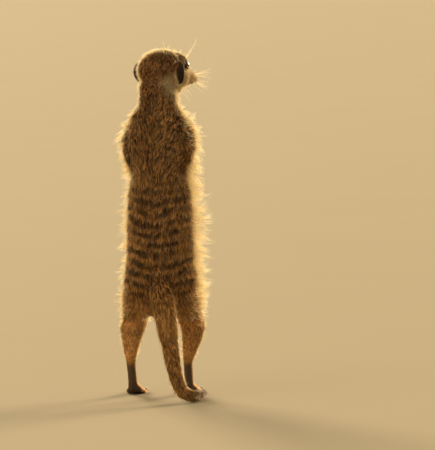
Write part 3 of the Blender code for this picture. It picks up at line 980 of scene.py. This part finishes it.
def finished_piece(name, line, root, out, width, mark, tone, loose):
    values = {
        "marks": ("FLOAT_COLOR", mark),
        "shade": ("FLOAT", tone),
        "loose": ("FLOAT", loose),
    }
    patch = unwrapped(root, middle_line(root, root[np.argmax(root[:, 2])]))
    mesh = tuft_mesh(name, line, out, width, values, patch, rng.normal(0, 0.5, root.shape))
    obj = add_object(name, mesh)
    return obj


def tuft_piece(name, chosen, rings, lock_size, gather, guard=0.0):
    """One piece of the coat over the triangles chosen, with thinner guard hairs that stand out of it."""
    chosen = np.flatnonzero(chosen)
    density = fields[:, 3] * (1 - hairless) * COAT_SHARE
    layers = [(density, 1.0, 1.0, 0.0)]
    if guard:
        layers.append((density * guard, 1.15, 0.55, 1.0))
    rows_made = []
    for share, longer, thinner, is_guard in layers:
        triangle, weights = scatter(chosen, share)
        rows = len(triangle)
        values = at_roots(fields, triangle, weights)
        length = values[:, 0] * longer * (0.72 + 0.5 * rng.random(rows))
        width = values[:, 1] * thinner * (0.8 + 0.4 * rng.random(rows))
        lift = np.radians(values[:, 2] + is_guard * 12) * (0.75 + 0.5 * rng.random(rows))
        bend = 0.55 + 0.5 * rng.random(rows) - 0.35 * is_guard
        line, root, out = grown(triangle, weights, length, lift, bend, rings)
        rows_made.append((line, root, out, width, at_roots(marks, triangle, weights),
                          rng.standard_normal(rows) * 0.5, np.full(rows, 0.2 * is_guard)))
    line, root, out, width, mark, tone, loose = [np.concatenate(rows) for rows in zip(*rows_made)]
    pulled, lead = gathered(line, root, lock_size, gather)
    line = line + (pulled - line) * np.where(loose > 0, 0.25, 1.0)[:, None, None]
    tone = 0.80 * tone + 0.75 * tone[lead]
    return finished_piece(name, line, root, out, width, mark, tone, loose)


def fringe_piece(name, chosen, rise, density, reach, width, locks, rings=3):
    """Pale hairs that stand out of the coat, drawn into loose locks. Rise is their mean lift, in degrees."""
    chosen = np.flatnonzero(chosen)
    triangle, weights = scatter(chosen, density * COAT_SHARE)
    rows = len(triangle)
    start = at_roots(places, triangle, weights)
    spread = 0.40 + 0.80 * rng.random(rows) ** 1.6 + 0.20 * drift(start, 5, 21)
    length = at_roots(reach, triangle, weights)[:, 0] * spread
    width = width * (0.75 + 0.5 * rng.random(rows))
    lift = np.radians(rise + 15 * drift(start, 6, 22) + 13 * rng.standard_normal(rows))
    bend = 0.10 + 0.28 * rng.standard_normal(rows)
    line, root, out = grown(triangle, weights, length, lift, bend, rings)
    line, _ = gathered(line, root, *locks)
    mark = at_roots(marks, triangle, weights)
    tone = rng.standard_normal(rows) * 0.5
    return finished_piece(name, line, root, out, width, mark, tone, np.ones(rows))


# How thickly the long loose hair of the flanks, shoulders, hips and throat grows, and how long it is.
FRINGE_HEIGHTS = (46, 60, 80, 110, 150, 200, 228, 250, 268, 284, 292)
FRINGE_REACH = (3, 5, 9.5, 14, 15, 15.5, 15, 13.5, 10.5, 7, 5)
turn_now = turn_from_spine(places)
turn_share = np.abs(turn_now) / math.pi
fringe_density = smooth(0.38, 0.48, turn_share) * (0.10 + 0.90 * smooth(0.76, 0.60, turn_share))
haired = is_part(parts, "chest", "abdomen", "rump", "upper_arm", "forearm", "thigh", "neck") * 1.0
haired *= np.where(is_part(parts, "forearm"), smooth(196, 212, places[:, 2]), 1.0)
fringe_density *= evener.even(haired, 8) * smooth(62, 94, places[:, 2]) * smooth(292, 282, places[:, 2])
fringe_density = 0.62 * evener.even(fringe_density, 6)
fringe_length = np.interp(places[:, 2], FRINGE_HEIGHTS, FRINGE_REACH)
right_side = (turn_now > 0) * smooth(70, 110, places[:, 2]) * smooth(230, 205, places[:, 2])
fringe_length *= 1 + 0.42 * right_side

# Short pale hairs as a painted rim glow. They are set thickest round the outline seen from behind, a little
# to the right, and their pale gold tips stand in for the back light's halo.
BEHIND = np.array((0.156, -0.988, 0.0))
RIM_GLOW_HEIGHTS = (0, 30, 60, 100, 264, 284, 300)
RIM_GLOW_REACH = (2.4, 3.2, 4.8, 6.0, 7.6, 6.2, 5.8)
edge_on = smooth(0.50, 0.12, np.abs(normals @ BEHIND))
rim_glow_density = 1.5 * edge_on * (1 - hairless) * (1 - 0.9 * in_face)
rim_glow_density *= np.where(is_part(parts, "ear"), 0.5, 1.0)
rim_glow_density *= np.where(is_tail > 0, smooth(84, 66, places[:, 2]) * smooth(8, 16, places[:, 2]), 1.0)
rim_glow_reach = np.interp(places[:, 2], RIM_GLOW_HEIGHTS, RIM_GLOW_REACH)
rim_glow_reach = np.where(is_part(parts, "ear"), 2.6, np.where(is_tail > 0, 5.6, rim_glow_reach))

is_back = np.abs(turn_from_spine(triangle_middles)) / math.pi < 0.40
on_right = triangle_middles[:, 0] > TRUNK_LEVELS[1][0]
face_triangles = in_face[corners[:, 0]] > 0.5


def among(*names):
    return is_part(triangle_parts, *names)


coat_pieces = [
    tuft_piece("coat_face", among(*HEAD_PARTS) & face_triangles, 1, 8, 0.25),
    tuft_piece("coat_ears", among("ear"), 1, 9, 0.2),
    tuft_piece("coat_crown", among(*HEAD_PARTS) & ~face_triangles, 2, 4, 0.4, 0.12),
    tuft_piece("coat_neck", among("neck"), 2, 4, 0.5, 0.15),
    tuft_piece("coat_arms", among("upper_arm", "forearm"), 2, 7, 0.55, 0.2),
    tuft_piece("coat_paws", among("front_paw", "hind_foot"), 1, 9, 0.2),
    tuft_piece("coat_leg_left", among("thigh", "shin") & ~on_right, 2, 4.5, 0.45, 0.2),
    tuft_piece("coat_leg_right", among("thigh", "shin") & on_right, 2, 4.5, 0.45, 0.2),
    tuft_piece("coat_tail", among("tail_base", "tail_middle"), 2, 4, 0.45, 0.12),
    tuft_piece("coat_tail_tip", among("tail_tip"), 2, 4, 0.45, 0.12),
]
for part in ("chest", "abdomen", "rump"):
    coat_pieces.append(tuft_piece(f"coat_{part}_back", among(part) & is_back, 2, 4.5, 0.55, 0.2))
    coat_pieces.append(tuft_piece(f"coat_{part}_front", among(part) & ~is_back, 2, 8, 0.6, 0.15))
rim_glow_parts = among("head", "eye", "ear", "neck", "thigh", "shin", "tail_base", "tail_middle", "forearm")
pale_pieces = [
    fringe_piece("fringe_left", ~on_right, 54, fringe_density, fringe_length, 0.28, (8, 0.8)),
    fringe_piece("fringe_right", on_right, 76, fringe_density, fringe_length, 0.28, (8, 0.8)),
    # Painted rim glow: pale hairs along the outline seen from behind.
    fringe_piece("rim_glow_hairs", rim_glow_parts, 52, rim_glow_density, rim_glow_reach, 0.22, (3, 0.4), 2),
]


# ------------------------------------------------------------------ eyes, claws and whiskers

def add_eye(name, side):
    """An eyeball with a bulge in front, turned to look out of its lids."""
    bpy.ops.object.select_all(action="DESELECT")
    bpy.ops.mesh.primitive_uv_sphere_add(segments=48, ring_count=32, radius=EYE_RADIUS * MM)
    eye = bpy.context.active_object
    eye.name = eye.data.name = name
    for vert in eye.data.vertices:
        front = max(vert.co.z / (EYE_RADIUS * MM) - BULGE_START, 0.0)
        vert.co.z += BULGE * front * MM * BULGE_STRETCH
    way = EYE_WAY * (side, 1, 1) @ HEAD_AXES
    turn = Vector(way).to_track_quat("Z", "Y").to_matrix().to_4x4()
    centre = from_head(eye_middles[side][None])[0] * MM
    eye.data.transform(Matrix.Translation(Vector(centre)) @ turn)
    look = np.array([vert.co for vert in eye.data.vertices]) - centre
    look = unit(look) @ way
    set_values(eye.data, "look", "FLOAT", look)
    eye.data.shade_smooth()
    return eye


WHISKER_RADIUS = 0.11


def whisker_rows():
    """Muzzle, brow, cheek and chin whiskers, each a thin curve that droops or lifts towards its tip."""
    rows = []
    for side in SIDES.values():
        starts = []
        for row in range(4):
            for k in range(5):
                spot = (side * (4.6 + 0.55 * k), 48.4 - 2.6 * k - 0.5 * row, -3.8 - 1.7 * row)
                aim = (side * (0.55 + 0.13 * k), 0.80 - 0.16 * k, 0.30 - 0.26 * row)
                starts.append((spot, aim, 15 + 1.6 * k - 1.2 * row, -0.05))
        for k in range(4):
            spot = (side * (9 + 1.2 * k), 27.5 - 1.5 * k, 12.6)
            starts.append((spot, (side * 0.3, 0.55 - 0.1 * k, 0.8), 13 + 2 * k, 0.1))
        for k in range(3):
            starts.append(((side * (15.5 - k), 16 - 4 * k, -9), (side * 0.8, 0.3, -0.45), 12, -0.1))
            spot = (side * (2.0 + k), 36 - 6 * k, -14 - 0.8 * k)
            starts.append((spot, (side * 0.25, 0.55, -0.8), 13 + k, 0.12))
        for spot, aim, length, curl in starts:
            spot = np.array(spot) + rng.normal(0, 0.25, 3)
            aim = unit(np.array(aim) + rng.normal(0, 0.07, 3))
            length *= 0.85 + 0.3 * rng.random()
            bow = unit(np.cross(aim, np.array((0.0, 0.3, 1.0)))) * rng.normal(0, 0.08)
            bow = bow + np.array((0, 0, curl))
            t = np.linspace(0, 1, 9)
            line = spot - aim * 1.8 + np.outer(t * length, aim) + np.outer(t ** 2 * length, bow)
            rows.append((from_head(line), WHISKER_RADIUS * (1 - t * 0.8)))
    return rows


def sunk_to_skin(rows, tree, depth):
    """Slides each row so that its root lies this deep under the skin."""
    found = []
    for line, radii in rows:
        near, normal, _, _ = tree.find_nearest(Vector(line[0] * MM))
        shift = np.array(near) / MM - np.array(normal) * depth - line[0]
        found.append((line + shift, radii))
    return found


skin_tree = BVHTree.FromPolygons([Vector(p * MM) for p in places], corners.tolist())
eyes = [add_eye(f"eyeball_{name}", side) for name, side in SIDES.items()]
claws = []
for name in SIDES:
    for paw in ("front_paw", "hind_foot"):
        rows = [(np.array(claw), CLAW_RADII) for _, claw in digit_lines(f"{paw}_{name}")]
        claws.append(tube_object(f"claws_{paw}_{name}", rows, 12))
whiskers = tube_object("whiskers", sunk_to_skin(whisker_rows(), skin_tree, 0.6), 5)


# ------------------------------------------------------------------ materials

class Wiring:
    """Adds nodes to a tree and joins them, one line for each."""

    def __init__(self, tree):
        self.tree = tree

    def node(self, kind, settings=(), **sockets):
        made = self.tree.nodes.new(kind)
        for key, value in dict(settings).items():
            setattr(made, key, value)
        for key, value in sockets.items():
            self.put(made.inputs[int(key[1:]) if key[1:].isdigit() else key.replace("_", " ")], value)
        return made

    def put(self, socket, value):
        if isinstance(value, bpy.types.NodeSocket):
            self.tree.links.new(value, socket)
        else:
            socket.default_value = value

    def maths(self, operation, one, two=0.0, three=0.0):
        return self.node("ShaderNodeMath", {"operation": operation}, i0=one, i1=two, i2=three).outputs[0]

    def vector(self, operation, one, two):
        return self.node("ShaderNodeVectorMath", {"operation": operation}, i0=one, i1=two).outputs[0]

    def range(self, value, low, high, to_low=0.0, to_high=1.0):
        settings = {"interpolation_type": "SMOOTHSTEP"}
        made = self.node("ShaderNodeMapRange", settings, i0=value, i1=low, i2=high, i3=to_low, i4=to_high)
        return made.outputs[0]

    def mix(self, share, one, two, blend="MIX"):
        settings = {"data_type": "RGBA", "blend_type": blend}
        return self.node("ShaderNodeMix", settings, i0=share, i6=one, i7=two).outputs[2]

    def split(self, colour):
        return self.node("ShaderNodeSeparateColor", i0=colour).outputs

    def object_place(self):
        return self.node("ShaderNodeTexCoord").outputs["Object"]

    def bump(self, height, strength, distance):
        return self.node("ShaderNodeBump", Strength=strength, Distance=distance, Height=height).outputs[0]

    def noise(self, vector, scale, detail=2.0, roughness=0.5):
        made = self.node("ShaderNodeTexNoise", Vector=vector, Scale=scale, Detail=detail, Roughness=roughness)
        return made.outputs[0]

    def ramp(self, value, stops):
        made = self.node("ShaderNodeValToRGB", Fac=value)
        elements = made.color_ramp.elements
        while len(elements) < len(stops):
            elements.new(0.5)
        for element, (position, colour) in zip(elements, stops):
            element.position = position
            element.color = (*colour, 1.0)
        return made.outputs[0]

    def attribute(self, name, output):
        return self.node("ShaderNodeAttribute", {"attribute_name": name}).outputs[output]


def group(name, inputs, outputs):
    """A shader node group with these sockets. Returns it with its wiring, its inputs and its output node."""
    tree = bpy.data.node_groups.new(name, "ShaderNodeTree")
    for label, kind in inputs:
        tree.interface.new_socket(label, in_out="INPUT", socket_type=f"NodeSocket{kind}")
    for label, kind in outputs:
        tree.interface.new_socket(label, in_out="OUTPUT", socket_type=f"NodeSocket{kind}")
    wiring = Wiring(tree)
    return tree, wiring, wiring.node("NodeGroupInput").outputs, wiring.node("NodeGroupOutput").inputs


# Each kind of hair from its root, 0, to its tip, 1.
BACK_HAIR = ((0.0, (0.012, 0.0045, 0.0015)), (0.3, (0.042, 0.015, 0.004)),
             (0.58, (0.42, 0.150, 0.037)), (0.90, (1.00, 0.490, 0.155)))
PALE_HAIR = ((0.0, (0.30, 0.195, 0.100)), (0.4, (0.64, 0.47, 0.280)), (1.0, (0.88, 0.73, 0.50)))
GOLD_HAIR = ((0.0, (0.270, 0.110, 0.026)), (0.4, (0.70, 0.315, 0.088)), (1.0, (1.00, 0.62, 0.230)))
DARK_HAIR = ((0.0, (0.011, 0.006, 0.004)), (0.6, (0.018, 0.010, 0.006)), (1.0, (0.033, 0.018, 0.010)))
# The pale gold tips of loose hair. On the fringe and guard hairs this is their own colour. On the short hairs
# round the outline seen from behind it is a painted rim glow.
LOOSE_HAIR_AND_RIM_GLOW = (0.95, 0.72, 0.40, 1.0)
BAND_TINT = (0.10, 0.07, 0.05, 1.0)
# The height of one band, and how far light spreads inside a hair, in metres.
BAND_HEIGHT = 0.0098
HAIR_SCATTER = 0.0008


def coat_colours():
    """The coat's colour at a place: back, belly, golden and dark hair, with the broken bands of the back."""
    sockets = [("Place", "Vector"), ("Marks", "Color")]
    sockets += [(label, "Float") for label in ("Banded", "Along", "Shade")]
    tree, wire, given, result = group("meerkat_coat_colours", sockets, [("Colour", "Color")])
    place, marks, banded, along, shade = (given[i] for i in range(5))
    pale, dark, golden = wire.split(marks)
    spot = wire.node("ShaderNodeSeparateXYZ", i0=place)
    sideways = wire.maths("ABSOLUTE", wire.maths("ADD", spot.outputs[0], SPINE_OFFSET))
    wobble = wire.maths("MULTIPLY_ADD", wire.noise(place, 60.0, 1.0), 0.010, -0.005)
    height = wire.maths("ADD", spot.outputs[2], wobble)
    height = wire.maths("MULTIPLY_ADD", sideways, -0.22, height)
    height = wire.maths("MULTIPLY_ADD", shade, 0.0016, height)
    rows = wire.maths("DIVIDE", height, BAND_HEIGHT)
    row = wire.maths("FLOOR", rows)
    pulse = wire.maths("PINGPONG", rows, 0.5)
    strip = wire.range(pulse, 0.14, 0.32)
    row_place = wire.node("ShaderNodeCombineXYZ", i0=spot.outputs[0],
                          i1=wire.maths("MULTIPLY", row, 0.0317)).outputs[0]
    broken = wire.range(wire.noise(row_place, 125.0, 0.0), 0.37, 0.49, 0.35, 1.0)
    band = wire.maths("MULTIPLY", wire.maths("MULTIPLY", strip, broken), banded)
    sway = wire.range(shade, -0.65, 0.75, 0.10, 1.26)
    calm = wire.maths("MULTIPLY_ADD", banded, -0.25, 1.0)
    level = wire.maths("MULTIPLY_ADD", calm, sway, wire.maths("MULTIPLY", banded, 0.46))
    reach = wire.maths("MULTIPLY", along, level)
    colour = wire.ramp(reach, BACK_HAIR)
    colour = wire.mix(golden, colour, wire.ramp(reach, GOLD_HAIR))
    colour = wire.mix(pale, colour, wire.ramp(along, PALE_HAIR))
    colour = wire.mix(band, colour, wire.mix(1.0, colour, BAND_TINT, "MULTIPLY"))
    colour = wire.mix(dark, colour, wire.ramp(along, DARK_HAIR))
    grain = wire.maths("MULTIPLY_ADD", shade, 0.16, 1.0)
    patches = wire.range(wire.noise(place, 45.0, 3.0), 0.25, 0.75, 0.85, 1.15)
    scale = wire.maths("MAXIMUM", wire.maths("MULTIPLY", grain, patches), 0.3)
    level = wire.node("ShaderNodeCombineColor", i0=scale, i1=scale, i2=scale).outputs[0]
    wire.put(result[0], wire.vector("MULTIPLY", colour, level))
    return tree


COAT_COLOURS = coat_colours()


def new_material(name, roughness, **constants):
    material = bpy.data.materials.new(name)
    material.use_nodes = True
    wire = Wiring(material.node_tree)
    shader = material.node_tree.nodes["Principled BSDF"]
    shader.inputs["Roughness"].default_value = roughness
    for key, value in constants.items():
        shader.inputs[key.replace("_", " ")].default_value = value
    return material, wire, shader


def coat_group(wire, along, shade):
    made = wire.node("ShaderNodeGroup", {"node_tree": COAT_COLOURS})
    wire.put(made.inputs["Place"], wire.attribute("place", "Vector"))
    wire.put(made.inputs["Marks"], wire.attribute("marks", "Color"))
    wire.put(made.inputs["Banded"], wire.attribute("marks", "Alpha"))
    wire.put(made.inputs["Along"], along)
    wire.put(made.inputs["Shade"], shade)
    return made.outputs[0]


def coat_material(name, glow):
    material, wire, shader = new_material(name, 0.6, Sheen_Weight=0.08, Sheen_Roughness=0.4,
                                          Specular_IOR_Level=0.25, Subsurface_Weight=glow,
                                          Subsurface_Scale=HAIR_SCATTER)
    shader.inputs["Sheen Tint"].default_value = (1.0, 0.82, 0.58, 1.0)
    shader.inputs["Subsurface Radius"].default_value = (1.0, 0.7, 0.45)
    along = wire.attribute("along", "Fac")
    colour = coat_group(wire, along, wire.attribute("shade", "Fac"))
    # Loose hair turns pale gold towards its tips. On the short hairs round the outline seen from behind, this
    # is a painted rim glow.
    light = wire.maths("SUBTRACT", 1.0, wire.split(wire.attribute("marks", "Color"))[1])
    share = wire.maths("MULTIPLY", wire.range(along, 0.0, 0.5, 0.40, 0.95), wire.attribute("loose", "Fac"))
    share = wire.maths("MULTIPLY", share, wire.range(light, 0.2, 0.7))
    colour = wire.mix(share, colour, LOOSE_HAIR_AND_RIM_GLOW)
    wire.put(shader.inputs["Base Color"], colour)
    return material


def skin_material():
    material, wire, shader = new_material("meerkat_skin", 0.7, Specular_IOR_Level=0.4)
    place = wire.object_place()
    grain = wire.noise(place, 900.0, 4.0)
    colour = coat_group(wire, wire.range(grain, 0.3, 0.7, 0.42, 0.58), wire.maths("MULTIPLY", grain, 0.4))
    nose, lid, sole = wire.split(wire.attribute("bare", "Color"))
    pebble = wire.node("ShaderNodeTexVoronoi", Vector=place, Scale=2600.0).outputs["Distance"]
    nose_colour = wire.mix(wire.range(pebble, 0.1, 0.6), (0.020, 0.012, 0.010, 1), (0.055, 0.033, 0.026, 1))
    sole_colour = wire.mix(wire.noise(place, 700.0), (0.045, 0.028, 0.017, 1), (0.120, 0.078, 0.048, 1))
    colour = wire.mix(sole, colour, sole_colour)
    colour = wire.mix(lid, colour, (0.012, 0.008, 0.006, 1))
    colour = wire.mix(nose, colour, nose_colour)
    wire.put(shader.inputs["Base Color"], colour)
    wire.put(shader.inputs["Roughness"], wire.range(wire.maths("MAXIMUM", nose, lid), 0.0, 1.0, 0.8, 0.34))
    fine = wire.maths("MULTIPLY_ADD", pebble, wire.maths("MAXIMUM", nose, sole), grain)
    wire.put(shader.inputs["Normal"], wire.bump(fine, 0.5, 0.0004))
    return material


def eye_material():
    material, wire, shader = new_material("meerkat_eye", 0.22, Coat_Weight=0.35, Coat_Roughness=0.08)
    look = wire.attribute("look", "Fac")
    place = wire.object_place()
    spokes = wire.noise(place, 2200.0, 3.0)
    iris = wire.mix(spokes, (0.026, 0.010, 0.004, 1), (0.085, 0.034, 0.012, 1))
    colour = wire.mix(wire.range(look, 0.74, 0.80), (0.012, 0.008, 0.006, 1), iris)
    colour = wire.mix(wire.range(look, 0.905, 0.935), colour, (0.003, 0.002, 0.002, 1))
    wire.put(shader.inputs["Base Color"], colour)
    return material


def claw_material():
    material, wire, shader = new_material("meerkat_claw", 0.36, Coat_Weight=0.2)
    place = wire.object_place()
    stretched = wire.vector("MULTIPLY", place, (900.0, 260.0, 260.0))
    grain = wire.noise(stretched, 1.0, 3.0)
    colour = wire.mix(grain, (0.030, 0.020, 0.014, 1), (0.115, 0.078, 0.052, 1))
    wire.put(shader.inputs["Base Color"], colour)
    wire.put(shader.inputs["Normal"], wire.bump(grain, 0.25, 0.0002))
    return material


def whisker_material():
    material, wire, shader = new_material("meerkat_whisker", 0.4, Subsurface_Weight=1.0,
                                          Subsurface_Scale=HAIR_SCATTER)
    shader.inputs["Subsurface Radius"].default_value = (1.0, 0.8, 0.6)
    place = wire.object_place()
    colour = wire.mix(wire.noise(place, 160.0), (0.74, 0.56, 0.30, 1), (0.94, 0.80, 0.55, 1))
    wire.put(shader.inputs["Base Color"], colour)
    return material


def floor_material():
    material, wire, shader = new_material("pale_floor", 0.9, Specular_IOR_Level=0.2)
    place = wire.object_place()
    colour = wire.mix(wire.noise(place, 3.0, 3.0), (0.226, 0.200, 0.150, 1), (0.240, 0.213, 0.160, 1))
    wire.put(shader.inputs["Base Color"], colour)
    return material


def finish_with(objects, material):
    for obj in objects:
        obj.data.materials.clear()
        obj.data.materials.append(material)


finish_with(coat_pieces, coat_material("meerkat_coat", 0.4))
# The flank fringe, and the pale hairs that paint a rim glow round the outline seen from behind.
finish_with(pale_pieces, coat_material("meerkat_fringe_and_rim_glow", 1.0))
finish_with([skin], skin_material())
finish_with(eyes, eye_material())
finish_with(claws, claw_material())
finish_with([whiskers], whisker_material())
skin.data.shade_smooth()


# ------------------------------------------------------------------ floor, light and camera

def add_light(name, turn, rise, strength, softness, colour):
    """A broad far light from this way round the animal and this high, in degrees. 0 is behind its back."""
    data = bpy.data.lights.new(name, "SUN")
    data.energy = strength
    data.angle = math.radians(softness)
    data.color = colour
    obj = add_object(name, data)
    turn, rise = math.radians(turn), math.radians(rise)
    way = Vector((math.sin(turn) * math.cos(rise), -math.cos(turn) * math.cos(rise), math.sin(rise)))
    obj.rotation_euler = way.to_track_quat("Z", "Y").to_euler()


FLOOR_RADIUS = 3000.0
WARM = (1.0, 0.76, 0.44)
SOFT = (1.0, 0.84, 0.60)
SKY = (1.0, 0.80, 0.47, 1.0)
SKY_STRENGTH = 0.5
# Each light's way round, height, strength, softness and colour.
LIGHTS = {
    "rim_left": (-148, 15, 5.2, 22, WARM),
    "rim_right": (150, 15, 5.8, 22, WARM),
    "top": (180, 62, 0.6, 30, SOFT),
    "fill": (-35, 30, 1.15, 50, SOFT),
}

bpy.ops.object.select_all(action="DESELECT")
bpy.ops.mesh.primitive_circle_add(vertices=96, radius=FLOOR_RADIUS, fill_type="NGON", location=(0, 0, 0))
floor = bpy.context.active_object
floor.name = floor.data.name = "floor"
finish_with([floor], floor_material())

for name, settings in LIGHTS.items():
    add_light(name, *settings)

world = bpy.context.scene.world or bpy.data.worlds.new("studio")
bpy.context.scene.world = world
world.use_nodes = True
background = world.node_tree.nodes["Background"]
background.inputs["Color"].default_value = SKY
background.inputs["Strength"].default_value = SKY_STRENGTH
bpy.context.scene.view_settings.view_transform = "Standard"

# The camera stands low behind the animal, a little to its right, and far off through a long lens. It looks
# at a place to the right of the animal, which stands left of the picture's middle.
AZIMUTH, ELEVATION = math.radians(9), math.radians(4)
CAMERA_DISTANCE = 4.0
VIEW_HEIGHT = 1.2932 * cad_box[1][2]
SENSOR_WIDTH = 36.0
TARGET = Vector((0.0498, 0.0157, 0.1602))
level_reach = math.cos(ELEVATION)
forward_way = Vector((-math.sin(AZIMUTH) * level_reach, math.cos(AZIMUTH) * level_reach,
                      -math.sin(ELEVATION)))
camera_data = bpy.data.cameras.new("camera")
camera_data.sensor_width = SENSOR_WIDTH
camera_data.lens = SENSOR_WIDTH * CAMERA_DISTANCE / VIEW_HEIGHT
camera_data.clip_end = 3 * FLOOR_RADIUS
camera = add_object("camera", camera_data)
camera.location = TARGET - forward_way * CAMERA_DISTANCE
camera.rotation_mode = "QUATERNION"
camera.rotation_quaternion = forward_way.to_track_quat("-Z", "Y")
bpy.context.scene.camera = camera


# ------------------------------------------------------------------ the CAD parts hidden, and the pieces attached to the root body

flesh = [name for name in frame["nodes"] if not name.startswith("eye_")]
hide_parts(*flesh)
for name, eye in zip(SIDES, eyes):
    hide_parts(f"eye_{name}")
for piece in (skin, *coat_pieces, *pale_pieces, *eyes, *claws, whiskers):
    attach(piece, "root")
